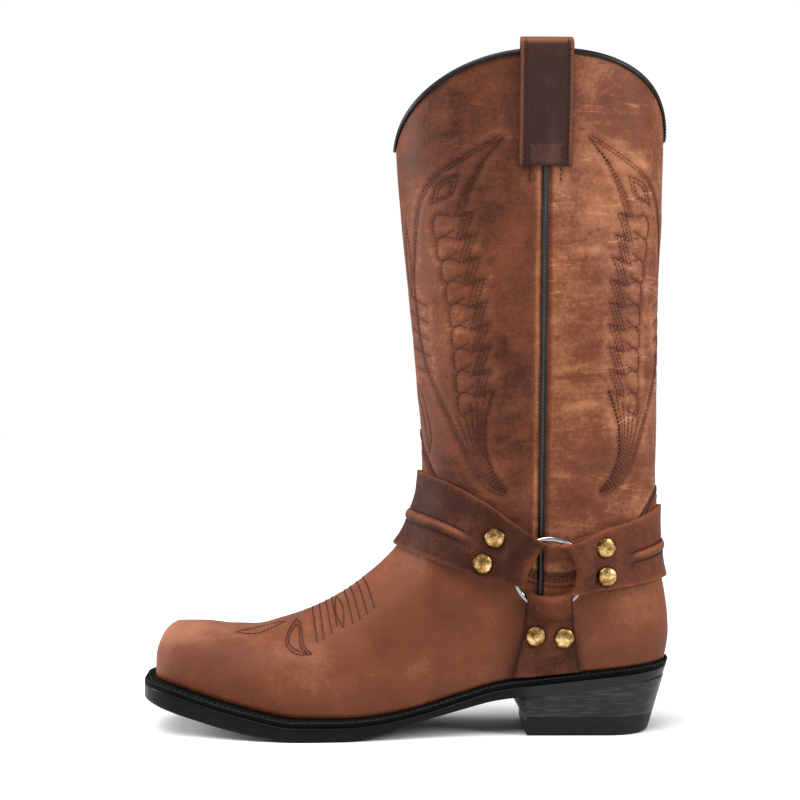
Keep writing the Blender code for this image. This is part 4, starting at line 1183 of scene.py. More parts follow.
# What is painted on the upper: how much each place is painted pale, darkened, streaked or kept calm
UPPER_PAINTS = {
    # Pale: the back panel and the crease ridges are paler leather; the toe is worn and painted with a
    # highlight; the shaft's front edge carries a painted highlight; the rolled seam edge and the quilted puffs
    # are paler leather with a painted highlight
    "worn": {
        "back_panel": 0.04, "toe_top": 0.28, "toe_front": 0.10, "ridge": 0.36, "rolled": 0.42, "puff": 0.10,
        "shaft_front": 0.06,
    },
    # Darker: the front panel and the patches are darker hide; the rest is painted shade, in the stitched
    # grooves, toward the welt, at the vamp's cut edge (also a dark raw edge), in the recess by the piping and
    # as a shadow beside the side strap
    "shade": {
        "stitched": 0.10, "front_panel": 0.20, "low_foot": 0.12, "cut_edge": 0.45, "recess": 0.35,
        "patches": 1.0, "beside_tab": 0.18,
    },
    "creased": {"back_panel": 1.0, "front_panel": 0.6, "foot": 0.1},
    "calm": {"foot": 0.55},
}


def nearest_distances(points, runs):
    """Distance from each point to the nearest stitched line."""
    marks = np.concatenate([resampled(run, MARK_SPACING) for run in runs])
    tree = KDTree(len(marks))
    for i, mark in enumerate(marks):
        tree.insert(mark, i)
    tree.balance()
    flat = [tree.find(place)[2] for place in points.reshape(-1, 3)]
    return np.array(flat).reshape(points.shape[:2])


def upper_positions():
    """The upper's rows from welt to collar, in fractions of the rings' table."""
    positions = [0.0, *VAMP_EDGE_ROWS]
    for row, steps in enumerate(RING_STEPS):
        positions += [row + (k + 1) / steps for k in range(steps)]
    return np.array(sorted(positions))


def patch_paint(points):
    """Darker and paler patches of the hide, from a table of places in the side view."""
    paint = np.zeros(points.shape[:2])
    for x, z, reach_x, reach_z, depth in PATCHES:
        away = np.hypot((points[..., 0] - x) / reach_x, (points[..., 2] - z) / reach_z)
        paint += depth * bell(away, 1.0)
    return paint


def upper_lift(points, positions, distance, creases):
    """How far the leather stands out: vamp edge, rolled seam, quilting, waves and creases."""
    below_edge = VAMP_EDGE_RING - positions
    fade = np.clip(1 - below_edge / VAMP_STEP_FADE, 0.0, 1.0)
    step = np.where(below_edge >= 0, VAMP_STEP * fade, 0.0)[:, None]
    seam_away = np.abs(points[..., 0] - seam_x(points[..., 2]))
    roll = SEAM_RIDGE * bell(seam_away - SEAM_RIDGE_AT, SEAM_RIDGE_WIDTH) * (below_edge < 0)[:, None]
    quilt = -QUILT_DEPTH * bell(distance, QUILT_WIDTH) + QUILT_PUFF * bell(distance - 4.0, 2.5)
    wave = np.array([noise.noise(Vector(place) / WAVE_LENGTH) for place in points.reshape(-1, 3)])
    wave = WAVE_HEIGHT * wave.reshape(points.shape[:2])
    quiet = smooth_step(*RELIEF_START, positions) * (1 - smooth_step(*RELIEF_END, positions))
    return step + roll + (quilt + wave + creases) * quiet[:, None]


def upper_places(points, positions, distance, creases):
    """The places of the upper that its paints name, each as a share between 0 and 1."""
    x = points[..., 0]
    z = points[..., 2]
    on_shaft = (positions > VAMP_EDGE_RING)[:, None]
    seam_side = x - seam_x(z)
    foot = smooth_step(*FOOT_FADE, positions)[:, None]
    tab_middle, tab_half = (smooth_curve(SIDE_STRAP["z"], SIDE_STRAP[name])(z) for name in ("middle", "half"))
    return {
        "foot": foot,
        "back_panel": (seam_side > 0) * on_shaft,
        "front_panel": (seam_side <= 0) * on_shaft,
        # Painted highlight toward the shaft's front edge
        "shaft_front": smooth_step(30.0, 6.0, x) * on_shaft,
        # Wear and a painted highlight on the toe's top and front
        "toe_top": smooth_step(-70.0, -135.0, x) * smooth_step(46.0, 60.0, z),
        "toe_front": smooth_step(-136.0, -145.0, x),
        # Painted shade toward the welt
        "low_foot": bell(z - feather_z(x), 16.0) * foot,
        "ridge": np.clip(creases, 0.0, 1.0) * (1 - 0.6 * foot),
        # The rolled seam edge, pulled pale and painted with a highlight, and painted shade in the recess beside
        # the piping
        "rolled": bell(seam_side + 3.4, 1.5) * on_shaft,
        "recess": bell(seam_side - 2.4, 1.5) * on_shaft,
        # A painted highlight on the quilted puffs, which are paler leather too, and painted shade along the
        # stitched grooves
        "puff": bell(distance - 3.4, 1.8) * on_shaft,
        "stitched": bell(distance, 0.9),
        # The vamp's dark raw edge, with a painted contact shadow
        "cut_edge": ((positions >= VAMP_EDGE_RING) & (positions <= VAMP_CUT_END))[:, None],
        "patches": patch_paint(points),
        # Painted shadow beside the side strap
        "beside_tab": bell(np.abs(x - tab_middle) - tab_half, 3.0) * smooth_step(62.0, 54.0, z),
    }


def build_upper(stitched):
    """The leather wall from the welt to the collar and its lining, in one closed skin."""
    positions = upper_positions()
    turns = np.linspace(0.0, 2 * math.pi, COLUMNS_AROUND + 1)
    points = np.array([ring_points(angles=turns, **ring_values(position)) for position in positions])
    across = np.gradient(points, axis=1)
    across[:, 0] = across[:, -1] = points[:, 1] - points[:, -2]
    normal = unit(np.cross(across, np.gradient(points, axis=0)))
    distance = nearest_distances(points, stitched)
    creases = crease_heights(points, turns)
    outer = points + normal * upper_lift(points, positions, distance, creases)[..., None]
    lining_rows = np.linspace(len(positions) - 1, 0, LINING_ROWS).round().astype(int)
    inner = (points - normal * WALL)[lining_rows]
    skin = np.concatenate([outer, inner, outer[:1]])
    skin[:, -1] = skin[:, 0]

    places = upper_places(points, positions, distance, creases)
    paints = {}
    for name, amounts in UPPER_PAINTS.items():
        paints[name] = np.zeros(skin.shape[:2])
        paints[name][:len(outer)] = sum(amount * places[place] for place, amount in amounts.items())
    bm = turned_out(grid_mesh(skewed(skin), **paints))
    bm.faces.ensure_lookup_table()
    for face in bm.faces[(len(outer) - 1) * COLUMNS_AROUND:]:
        face.material_index = 1
    return piece("boot_upper", bm, (BROWN, LINING), "upper_leather", "upper")


# Sole, welt, heel and insole
SOLE_STATIONS = 150
SOLE_END_TRIM = 0.012


def lengthwise_stations(back, tip, count):
    """Places along the foot, close together at both ends."""
    turn = np.linspace(SOLE_END_TRIM * math.pi, (1 - SOLE_END_TRIM) * math.pi, count)
    return back + (tip - back) * (1 - np.cos(turn)) / 2


def leaned(x, y, drop):
    """A place on the sole's edge at a drop below the featherline: round the heel the edge leans in."""
    back = HEEL_BACK_LEAN * drop * smooth_step(HEEL_ROUND_X, SOLE_BACK, x)
    side = HEEL_SIDE_LEAN * drop * smooth_step(HEEL_SEAT_X, HEEL_ROUND_X, x)
    return x - back, np.sign(y) * (np.abs(y) - side)


# Section of the outsole's edge, from the tread up: inset and share of its height
SOLE_EDGE = (
    (2.2, 0.0), (0.9, 0.03), (0.25, 0.12), (0.0, 0.28), (0.0, 0.60), (0.0, 0.80), (0.12, 0.93), (0.45, 1.0),
)
HEEL_BLOCK_REACH = (60.0, 72.0)
SOLE_SHARP_ANGLE = 38.0
SHARP_ANGLE = 40.0


def build_outsole():
    stations = lengthwise_stations(SOLE_BACK, -SOLE_BACK, SOLE_STATIONS)
    depth = feather_z(stations) - tread_z(stations)
    under_x, under_y = leaned(stations, 0.0 * stations, depth)
    lines = [xyz(under_x, under_y, tread_z(under_x))]
    square = 1 - smooth_step(*HEEL_BLOCK_REACH, stations)
    for side in SIDES:
        edge = side * sole_breadth(stations, side)
        wall = []
        for inset, share in SOLE_EDGE:
            drop = depth + (WELT_HEIGHT - depth) * share
            x, y = leaned(stations, edge, drop)
            wall.append(xyz(x, y - side * inset * square, feather_z(x) - drop))
        lines += wall if side == LATERAL else wall[::-1]
    loops = np.stack(lines, axis=1)
    over_heel = smooth_step(*HEEL_BLOCK_REACH, loops[..., 0])
    bm = capped(grid_mesh(closed(skewed(loops)), worn=closed(over_heel)))
    made = piece("sole", bm, (SOLE_BLACK,), "sole_rubber", "outsole")
    return sharp_edges(made, SOLE_SHARP_ANGLE)


WELT_STATIONS = 240
WELT_BEAD = 1.6
WELT_INSET = 0.4
WELT_UNDERSIDE = WELT_HEIGHT - 0.1
# Section of the welt from the sole up and in: share of the way from the outer line to the seat, and drop
WELT_SECTION = (
    (0.0, WELT_UNDERSIDE), (0.0, WELT_SLOPE + 1.0), (0.02, WELT_SLOPE + 0.35), (0.08, WELT_SLOPE - 0.1),
    (0.18, WELT_SLOPE - 0.2), (0.26, WELT_SLOPE + 0.25), (0.50, WELT_SLOPE - 0.1), (0.74, WELT_SLOPE - 0.2),
    (0.86, 0.9), (0.95, 0.45), (1.0, 0.5),
)
WELT_INNER_DROPS = (0.5, WELT_UNDERSIDE)
# The line of the section painted pale as a highlight along the welt's top edge, and how pale
WELT_HIGHLIGHT_LINE = 3
WELT_HIGHLIGHT = 0.28
WELT_STITCH_SHARE = 0.52
WELT_STITCH_DROP = WELT_SLOPE - 0.3


def welt_ring(back, tip, breadth, inset):
    """One line round the welt: places along the boot and across it."""
    turn = np.linspace(0.0, 2 * math.pi, WELT_STATIONS, endpoint=False) + math.pi / WELT_STATIONS
    along = (1 - np.cos(turn)) / 2
    side_sign = np.where(np.sin(turn) > 0, MEDIAL, LATERAL)
    x = back - inset + (tip - back + 2 * inset) * along
    reach = np.where(side_sign > 0, breadth(x, MEDIAL), breadth(x, LATERAL))
    return np.stack([x, side_sign * reach], axis=-1)


def welt_lines():
    """The welt's outer line, the line of its seat under the upper, and its inner line."""
    def sole(x, side):
        return sole_breadth(x, side) - WELT_INSET

    def seat(x, side):
        return feather_breadth(x, side) + WELT_BEAD

    def inner(x, side):
        return np.maximum(feather_breadth(x, side) - WELT_SEAT, 0.0)

    return (
        welt_ring(SOLE_BACK, -SOLE_BACK, sole, WELT_INSET),
        welt_ring(LAST_BACK, LAST_TIP, seat, -WELT_BEAD),
        welt_ring(LAST_BACK, LAST_TIP, inner, WELT_SEAT),
    )


def build_welt():
    outer, seat, inner = welt_lines()
    lines = []
    for share, drop in WELT_SECTION:
        flat = outer + (seat - outer) * share
        x, y = leaned(flat[:, 0], flat[:, 1], drop * (1 - share))
        lines.append(xyz(x, y, feather_z(x) - drop))
    lines += [np.column_stack([inner, feather_z(inner[:, 0]) - drop]) for drop in WELT_INNER_DROPS]
    loops = closed(closed(skewed(np.stack(lines, axis=1))), axis=0)
    # A painted highlight along the welt's top edge
    worn = np.zeros(loops.shape[1])
    worn[WELT_HIGHLIGHT_LINE] = WELT_HIGHLIGHT
    bm = turned_out(grid_mesh(loops, worn=worn[None, :]))
    return piece("stitched_welt", bm, (WELT_BLACK,), "welt", "welt")


def welt_stitch_run():
    outer, seat, _ = welt_lines()
    flat = outer + (seat - outer) * WELT_STITCH_SHARE
    run = np.column_stack([flat, feather_z(flat[:, 0]) - WELT_STITCH_DROP])
    return skewed(closed(run, axis=0))


INSOLE_STATIONS = 60
INSOLE_CLEARANCE = 0.7
INSOLE_END_TRIM = 1.4
INSOLE_LIFT = 0.3
INSOLE_COLUMNS = 12
INSOLE_DISH = 0.7


def build_insole():
    inset = WALL + INSOLE_CLEARANCE
    x = lengthwise_stations(LAST_BACK - inset, LAST_TIP + inset, INSOLE_STATIONS)
    length = LAST_TIP - LAST_BACK
    stretch = LAST_BACK + (x - LAST_BACK + inset) * length / (length + 2 * inset)

    def edge(side):
        trim = inset * np.clip(last_ends(stretch, side) * INSOLE_END_TRIM, 0.0, 1.0)
        return side * (feather_breadth(stretch, side) - trim)

    lateral, medial = edge(LATERAL), edge(MEDIAL)
    low = feather_z(x) + INSOLE_LIFT
    lines = [xyz(x, lateral, low)]
    for share in np.linspace(0.0, 1.0, INSOLE_COLUMNS):
        top = low + INSOLE_THICKNESS - INSOLE_DISH * math.sin(math.pi * share)
        lines.append(xyz(x, lateral + (medial - lateral) * share, top))
    lines.append(xyz(x, medial, low))
    bm = capped(grid_mesh(closed(skewed(np.stack(lines, axis=1)))))
    made = piece("insole_board", bm, (LINING,), "insole_leather", "insole")
    return sharp_edges(made, SHARP_ANGLE)


HEEL_QUARTER_POINTS = 26
HEEL_BREAST_POINTS = 13


def heel_outline(z, inset, bulge):
    """D-shaped outline of the heel at a height: round back, straight sides, breast in front."""
    back = HEEL_FOOT_BACK + HEEL_BACK_LEAN * z - inset
    half = HEEL_FOOT_HALF_WIDTH + HEEL_SIDE_LEAN * z - inset
    turn = np.linspace(-0.5 * math.pi, 0.5 * math.pi, 2 * HEEL_QUARTER_POINTS + 1)
    round_x = HEEL_ROUND_X + (back - HEEL_ROUND_X) * np.abs(np.cos(turn)) ** (2 / HEEL_POWER)
    round_y = half * np.sign(turn) * np.abs(np.sin(turn)) ** (2 / HEEL_POWER)
    breast_y = np.linspace(half, -half, HEEL_BREAST_POINTS)
    breast_x = HEEL_BREAST_X + inset - bulge * (1 - (breast_y / half) ** 2)
    return np.concatenate([round_x, breast_x]), np.concatenate([round_y, breast_y])


HEEL_LIFTS = 4
HEEL_CAP_GAP = 0.2
# Section of one lift: share of its height, a step from there in shares of the stack, and inset
LIFT_SECTION = ((0.0, 0.0, 0.05), (0.0, 0.03, 0.0), (0.5, 0.0, -0.02), (1.0, -0.03, 0.0))
HEEL_STACK_TOP = (1.02, 0.0)
# Section of the heel cap: height and inset
CAP_SECTION = (
    (0.0, 1.8), (0.5, 0.7), (1.5, 0.1), (2.6, 0.0), (HEEL_CAP_HEIGHT - 0.9, 0.0), (HEEL_CAP_HEIGHT, 0.4),
)


def heel_piece(name, loops, finish, slot, node):
    made = piece(name, capped(grid_mesh(closed(np.array(loops)))), (finish,), slot, node)
    return sharp_edges(made, SHARP_ANGLE)


def build_heel_stack():
    """The stack of lifts between the heel cap and the sole."""
    low = HEEL_CAP_HEIGHT + HEEL_CAP_GAP
    levels = []
    for lift in range(HEEL_LIFTS):
        levels += [((lift + share) / HEEL_LIFTS + rise, inset) for share, rise, inset in LIFT_SECTION]
    loops = []
    for share, inset in (*levels, HEEL_STACK_TOP):
        bulge = HEEL_BREAST_BULGE_LOW + (HEEL_BREAST_BULGE - HEEL_BREAST_BULGE_LOW) * share
        x, y = heel_outline(low, inset, bulge)
        x_top, y_top = heel_outline(float(tread_z(HEEL_ROUND_X)), inset, bulge)
        rise = tread_z(x_top) - tread_z(HEEL_ROUND_X)
        x_top = x_top + rise * HEEL_BACK_LEAN * smooth_step(HEEL_ROUND_X, SOLE_BACK, x_top)
        bottom = xyz(x, y, low)
        top = xyz(x_top, y_top, tread_z(x_top))
        loops.append(bottom + (top - bottom) * share)
    return heel_piece("heel_lifts", loops, STACK_BLACK, "heel_stack", "heel_stack")


def build_heel_cap():
    loops = []
    for z, inset in CAP_SECTION:
        x, y = heel_outline(z, inset, HEEL_BREAST_BULGE_LOW * z / HEEL_CAP_HEIGHT)
        loops.append(xyz(x, y, z))
    return heel_piece("heel_rubber", loops, CAP_BLACK, "heel_rubber", "heel_cap")


# Collar binding, side piping and pull straps
BINDING_PROBE = 0.03
BINDING_STITCHES = (1.5, -0.9)
# Section of the folded binding: out from the wall's outer face, and up from the collar's edge
BINDING_SECTION = (
    (0.3, -1.5), (0.8, -1.65), (1.25, -1.4), (1.4, -0.8), (1.4, 0.2), (0.9, 1.2), (-0.3, 1.65), (-2.1, 1.65),
    (-3.3, 1.2), (-3.8, 0.2), (-3.8, -1.4), (-3.65, -2.5), (-3.2, -2.85), (-2.7, -2.7), (-2.7, 0.3), (0.3, 0.3),
)


def collar_edge():
    """The collar's edge with its outward and upward directions."""
    turns = np.linspace(0.0, 2 * math.pi, COLUMNS_AROUND, endpoint=False)
    last_row = len(RINGS["front"]) - 1
    edge = ring_points(angles=turns, **ring_values(last_row))
    below = ring_points(angles=turns, **ring_values(last_row - BINDING_PROBE))
    along = unit(np.roll(edge, -1, axis=0) - np.roll(edge, 1, axis=0))
    outward = unit(np.cross(along, edge - below))
    return edge, outward, np.cross(outward, along)


def build_collar_binding():
    edge, outward, upward = collar_edge()
    loops = np.stack([edge + outward * out + upward * up for out, up in BINDING_SECTION], axis=1)
    bm = turned_out(grid_mesh(closed(closed(loops), axis=0)))
    return piece("edge_binding", bm, (TRIM_BLACK,), "black_trim", "collar_binding")


def binding_stitch_run():
    edge, outward, upward = collar_edge()
    out, up = BINDING_STITCHES
    return closed(edge + outward * out + upward * up, axis=0)


PIPING_STATIONS = 640
PIPING_STEP_Z = (90.0, 97.0)
PIPING_TWIST = 1.9
PIPING_TWIST_SWELL = 0.02
PIPING_CORD_UP = 1.0
# Painted highlight on the cord's crest: a steady part, and a part that beads with its twist
PIPING_HIGHLIGHT = (0.03, 0.17)
# Section of the piping: across and up, from its front flange over the cord to its back flange
PIPING_SECTION = (
    (-1.7, 0.05), (-1.4, 0.4), (-1.15, 0.55), (-1.05, 1.2), (-0.65, 1.8), (0.0, 2.0), (0.65, 1.8), (1.05, 1.2),
    (1.2, 0.55), (1.6, 0.45), (2.1, 0.05),
)


def build_side_piping(side):
    """The corded piping in the side seam."""
    z = np.linspace(PIPING_LOW_Z, PIPING_HIGH_Z, PIPING_STATIONS)
    over_vamp = VAMP_STEP * (1 - smooth_step(*PIPING_STEP_Z, z))
    bead = np.sin(2 * math.pi * z / PIPING_TWIST)
    twist = 1.0 + PIPING_TWIST_SWELL * bead
    lines = []
    for across, up in PIPING_SECTION:
        rise = over_vamp + up * (twist if up > PIPING_CORD_UP else 1.0)
        lines.append(side_run(seam_x(z) + across * twist, z, side, rise))
    # A beaded painted highlight on the cord's crest line
    on_top = np.array([across == 0.0 for across, _ in PIPING_SECTION])
    crest_highlight = PIPING_HIGHLIGHT[0] + PIPING_HIGHLIGHT[1] * smooth_step(0.2, 0.9, bead)
    bm = capped(grid_mesh(closed(np.stack(lines, axis=1)), worn=closed(crest_highlight[:, None] * on_top)))
    name = SIDE_NAMES[side]
    return piece(f"seam_piping_{name}", bm, (TRIM_BLACK,), "black_trim", f"side_piping_{name}")


PULL_STRAP_COLUMNS = np.linspace(-1.0, 1.0, 41)
PULL_STRAP_BEND_STEPS = 12
PULL_STRAP_OUTER_ROWS = 30
PULL_STRAP_INNER_ROWS = 16
PULL_STRAP_STANDOFF = 2.6
PULL_STRAP_HEM_GAP = 0.4
PULL_STRAP_INNER_GAP = 1.9
PULL_STRAP_EDGE_ROUND = 0.5
PIPING_BUMP_WIDTH = 4.0
BINDING_REACH = 16.0
# The sewn panel above the hem: its top row and how far its other rows stand from the seam
HEM_PANEL_Z = 334.0
HEM_PANEL_TOP_HALF = 8.4
HEM_PANEL_ROWS = (-8.8, 8.8)
HEM_PANEL_OUT = 4.6
TACK_LOW_Z = 313.0
PULL_STRAP_EDGE_ROWS = (-12.0, 12.4)


def pull_strap_paints(z):
    """Where a pull strap is painted pale, at its worn edges and as a highlight on its fold, and where it is
    painted dark, as shade in its sewn grooves and along its hem and as a shadow at its side edges.
    """
    aside = np.abs(PULL_STRAP_COLUMNS)[None, :]
    fold_highlight = smooth_step(PULL_STRAP_TOP_Z - 5.5, PULL_STRAP_TOP_Z - 2.0, z)
    hem_panel = smooth_step(HEM_PANEL_Z + 1.0, HEM_PANEL_Z - 1.0, z) * (aside < 0.6)
    # Paler edges; a painted highlight on the fold at the top; a slightly paler panel above the hem
    worn = np.maximum(0.26 * smooth_step(0.80, 0.88, aside), 0.6 * fold_highlight) + 0.10 * hem_panel
    # Painted shade in the sewn grooves and along the hem, and a painted shadow at the side edges below the fold
    shade = 0.3 * bell(aside - 0.80, 0.05) + 0.15 * bell(z - PULL_STRAP_HEM_Z, 1.6)
    return {"worn": worn, "shade": shade + 0.4 * smooth_step(0.95, 1.0, aside) * (1 - fold_highlight)}


def build_pull_strap(side):
    """A loop over the collar: outer leg down to its hem, a round top and a leg inside the shaft."""
    half = PULL_STRAP_THICKNESS / 2
    outer = PULL_STRAP_STANDOFF + half
    inner = -(WALL + PULL_STRAP_INNER_GAP + half)
    bend = (outer - inner) / 2
    bend_z = PULL_STRAP_TOP_Z - half - bend
    across = PULL_STRAP_COLUMNS * PULL_STRAP_HALF_WIDTH

    def leg(z, out):
        return side_run(seam_x(z) + across, z, side, out)

    bump = bell(across, PIPING_BUMP_WIDTH)
    hem = PULL_STRAP_HEM_GAP + (PULL_STRAP_STANDOFF - PULL_STRAP_HEM_GAP) * bump + half
    rows = []
    for z in np.linspace(PULL_STRAP_HEM_Z, bend_z, PULL_STRAP_OUTER_ROWS):
        lift = smooth_step(PULL_STRAP_HEM_Z, bend_z - BINDING_REACH, z)
        rows.append(leg(z, hem * (1 - lift) + outer * lift))
    x = seam_x(bend_z) + across
    base, normal = side_points(x, np.full_like(x, bend_z), side, np.zeros_like(x))
    for step in range(1, PULL_STRAP_BEND_STEPS):
        turn = math.pi * step / PULL_STRAP_BEND_STEPS
        out = (outer + inner) / 2 + bend * math.cos(turn)
        rows.append(base + normal * out + np.array([0.0, 0.0, bend * math.sin(turn)]))
    rows += [leg(z, inner) for z in np.linspace(bend_z, PULL_STRAP_INNER_Z, PULL_STRAP_INNER_ROWS)]
    rows = np.array(rows)
    bm = grid_mesh(rows, **pull_strap_paints(rows[..., 2]))
    name = SIDE_NAMES[side]
    finishes = (LOOP_BROWN, STRAP_EDGE)
    made = piece(f"pull_loop_{name}", bm, finishes, "pull_strap_leather", f"pull_strap_{name}")
    return thick_leather(made, PULL_STRAP_THICKNESS, PULL_STRAP_EDGE_ROUND)


def pull_strap_runs(side):
    """Rows along both edges of a pull strap, its hem row and the rows that hold it to the shaft."""
    z = np.linspace(PULL_STRAP_HEM_Z + 2.0, PULL_STRAP_TOP_Z - 6.0, 30)
    face = PULL_STRAP_STANDOFF + PULL_STRAP_THICKNESS
    runs = [side_run(seam_x(z) + across, z, side, face) for across in PULL_STRAP_EDGE_ROWS]
    x = seam_x(HEM_PANEL_Z) + np.linspace(-HEM_PANEL_TOP_HALF, HEM_PANEL_TOP_HALF, 8)
    runs.append(side_run(x, HEM_PANEL_Z, side, HEM_PANEL_OUT))
    z = np.linspace(PULL_STRAP_HEM_Z + 1.0, HEM_PANEL_Z - 1.0, 8)
    return runs + [side_run(seam_x(z) + across, z, side, HEM_PANEL_OUT) for across in HEM_PANEL_ROWS]


def shaft_tack_runs(side):
    """The ends of the pull strap's rows, sewn to the shaft below its hem."""
    z = np.linspace(TACK_LOW_Z, PULL_STRAP_HEM_Z - 0.5, 5)
    return [side_run(seam_x(z) + across, z, side, 0.0) for across in HEM_PANEL_ROWS]


# Harness
STRAP_LOW = STRAP_GAP + VAMP_STEP + STRAP_THICKNESS / 2
STRAP_HIGH = STRAP_LOW + STRAP_THICKNESS + STRAP_LAYER_GAP
STRAP_FOLD = RING_WIRE_RADIUS + WIRE_GAP + STRAP_THICKNESS / 2
RING_GAP = 0.15
RING_OUT = STRAP_LOW + STRAP_FOLD + RING_GAP
STRAP_EDGE_ROUND = 0.45
STRAP_FOLD_STEPS = 12
STRAP_FOLD_RUN = 5.5
BAND_COLUMNS = np.linspace(-1.0, 1.0, 61)
BEAD_HALF_WIDTH = 0.11
BEAD_GROOVE = 0.35
BEAD_GROOVE_AT = 1.35 * BEAD_HALF_WIDTH
BEAD_GROOVE_WIDTH = 0.035
BEAD_SHADE_WIDTH = 0.03
BEAD_SHOWS_BEYOND = (46.0, 56.0)
SIDE_COLUMNS = np.linspace(-1.0, 1.0, 25)
RING_PROBES = 24
LAYER_SPACING = 2.5
ROW_SPACING = 1.4
ROW_SOFTENING = 2
ROW_EASING = 14
EASED_BEYOND_RING = (26.0, 34.0)
BEAD_STITCH_START = 47.0
SIDE_STRAP_FOOT = 0.4


def ring_frame(side):
    """Centre of a harness ring and the normal of its plane, laid on the wall all round the ring."""
    turn = np.linspace(0.0, 2 * math.pi, RING_PROBES, endpoint=False)
    x = RING_X + RING_RADIUS * np.cos(turn)
    z = RING_Z + RING_RADIUS * np.sin(turn)
    wall = side_points(x, z, side, np.zeros_like(x))[0]
    middle = wall.mean(axis=0)
    normal = np.linalg.svd(wall - middle)[2][2]
    normal *= np.sign(normal[1]) * side
    return middle + normal * (RING_OUT + ((wall - middle) @ normal).max()), normal


def fold_rows(side, lay, columns, half_width):
    """Rows of a strap's fold round the ring's wire, from the under layer to the upper one."""
    centre, normal = ring_frame(side)
    run = np.array([lay["toward"][0], 0.0, lay["toward"][1]])
    run = unit(run - normal * run.dot(normal))
    across = np.cross(run, normal)
    across *= np.sign(across[2]) if abs(run[0]) > abs(run[2]) else np.sign(across[0])
    reach = columns * half_width
    wire = np.sqrt(RING_RADIUS ** 2 - reach ** 2)
    stretch = RING_RADIUS / wire
    bend = wire + (wire.min() - wire) * lay["straight"]

    def row(distance, height):
        flat = centre + np.outer(distance, run) + np.outer(reach, across)
        return flat + normal * height

    rows = [row(wire + STRAP_FOLD_RUN, -STRAP_FOLD)]
    for step in range(STRAP_FOLD_STEPS + 1):
        turn = math.pi * (step / STRAP_FOLD_STEPS - 0.5)
        rows.append(row(bend - STRAP_FOLD * stretch * math.cos(turn), STRAP_FOLD * math.sin(turn)))
    rows.append(row(wire + STRAP_FOLD_RUN, STRAP_FOLD))
    return rows


def bead_height(place):
    """The raised bead across a strap, with a sewn groove on each side of it."""
    away = np.abs(BAND_COLUMNS - place)
    groove = BEAD_GROOVE * bell(away - BEAD_GROOVE_AT, BEAD_GROOVE_WIDTH)
    return BEAD_HEIGHT * np.exp(-(away / BEAD_HALF_WIDTH) ** 3) - groove


def outward_normals(rows):
    """The way out from the boot at each point of a strap."""
    normal = unit(np.cross(np.gradient(rows, axis=0), np.gradient(rows, axis=1)))
    away = (rows - np.array([SEAM_X_AT_RING, 0.0, 0.0])) * np.array([1.0, 1.0, 0.0])
    return normal * np.sign((normal * away).sum(axis=-1, keepdims=True))


def layer_stations(lay, layer):
    first, last = lay[layer]
    return np.linspace(first, last, int(abs(last - first) / LAYER_SPACING) + 2)


def band_rows(strap, lay, side, layer, out):
    """Rows of one layer of a strap along the leg, with the bead where the strap is single."""
    middle = smooth_curve(strap["angle"], strap["middle"])
    half = smooth_curve(strap["angle"], strap["half"])
    rows = []
    for angle in layer_stations(lay, layer):
        z = middle(angle) + BAND_COLUMNS * half(angle)
        lift = out + bead_height(lay["bead_place"]) * smooth_step(*lay["bead"], angle)
        rows.append(leg_points(np.full_like(z, angle), z, side, lift))
    return rows


def ring_distance(rows):
    """How far each point of a strap is from the nearer ring's centre."""
    centres = [ring_frame(side)[0] for side in SIDES]
    return np.min([np.linalg.norm(rows - centre, axis=-1) for centre in centres], axis=0)


def softened(rows):
    """Rows spread evenly along a strap, with the kinks between its runs eased."""
    rows = np.array(rows)
    lengths = run_lengths(rows[:, rows.shape[1] // 2])
    at = np.linspace(0.0, lengths[-1], int(lengths[-1] / ROW_SPACING))
    columns = [np.interp(at, lengths, column) for column in rows.reshape(len(rows), -1).T]
    spread = np.stack(columns, axis=-1).reshape(len(at), -1, 3)
    for _ in range(ROW_SOFTENING):
        spread[1:-1] = (spread[:-2] + 2 * spread[1:-1] + spread[2:]) / 4
    ease = smooth_step(*EASED_BEYOND_RING, ring_distance(spread))[1:-1, :, None]
    for _ in range(ROW_EASING):
        spread[1:-1] += ease * ((spread[:-2] + 2 * spread[1:-1] + spread[2:]) / 4 - spread[1:-1])
    return spread


def band_half(strap, lay, side):
    """Half a strap: its under layer, the fold round the ring and the run to the middle of the boot."""
    rows = band_rows(strap, lay, side, "under", STRAP_LOW)
    rows += fold_rows(side, lay, BAND_COLUMNS, strap["half"][0])
    rows += band_rows(strap, lay, side, "over", STRAP_HIGH)
    rows += band_rows(strap, lay, side, "single", STRAP_LOW)
    return rows


def build_band(name, strap, lay, node, pale_tone):
    """A strap from one ring round the front or the heel to the other ring, and its rows of stitches."""
    rows = softened(band_half(strap, lay, LATERAL) + band_half(strap, lay, MEDIAL)[-2::-1])
    away = ring_distance(rows)
    beside = (BAND_COLUMNS - lay["bead_place"])[None, :]
    # A painted highlight on the bead's upper half, where light falls, and painted shade in its sewn grooves
    bead = bell(beside - 0.4 * BEAD_HALF_WIDTH, 0.6 * BEAD_HALF_WIDTH)
    groove = bell(np.abs(beside) - BEAD_GROOVE_AT, BEAD_SHADE_WIDTH)
    beaded = smooth_step(*BEAD_SHOWS_BEYOND, away)
    # Edges paler, worn and painted highlight; paler toward the fold round the ring, pulled pale and painted
    # highlight
    worn = pale_tone + 0.12 * smooth_step(0.84, 1.0, np.abs(BAND_COLUMNS))[None, :] + 0.28 * bead * beaded
    worn = worn + 0.22 * smooth_step(17.0, 11.5, away) + 0.12 * bell(away - 14.0, 5.0)
    bm = grid_mesh(rows, worn=worn, shade=0.4 * groove * beaded)
    made = piece(name, bm, (STRAP_BROWN, STRAP_EDGE), "strap_leather", node)
    return thick_leather(made, STRAP_THICKNESS, STRAP_EDGE_ROUND), bead_runs(rows, lay["bead_place"])


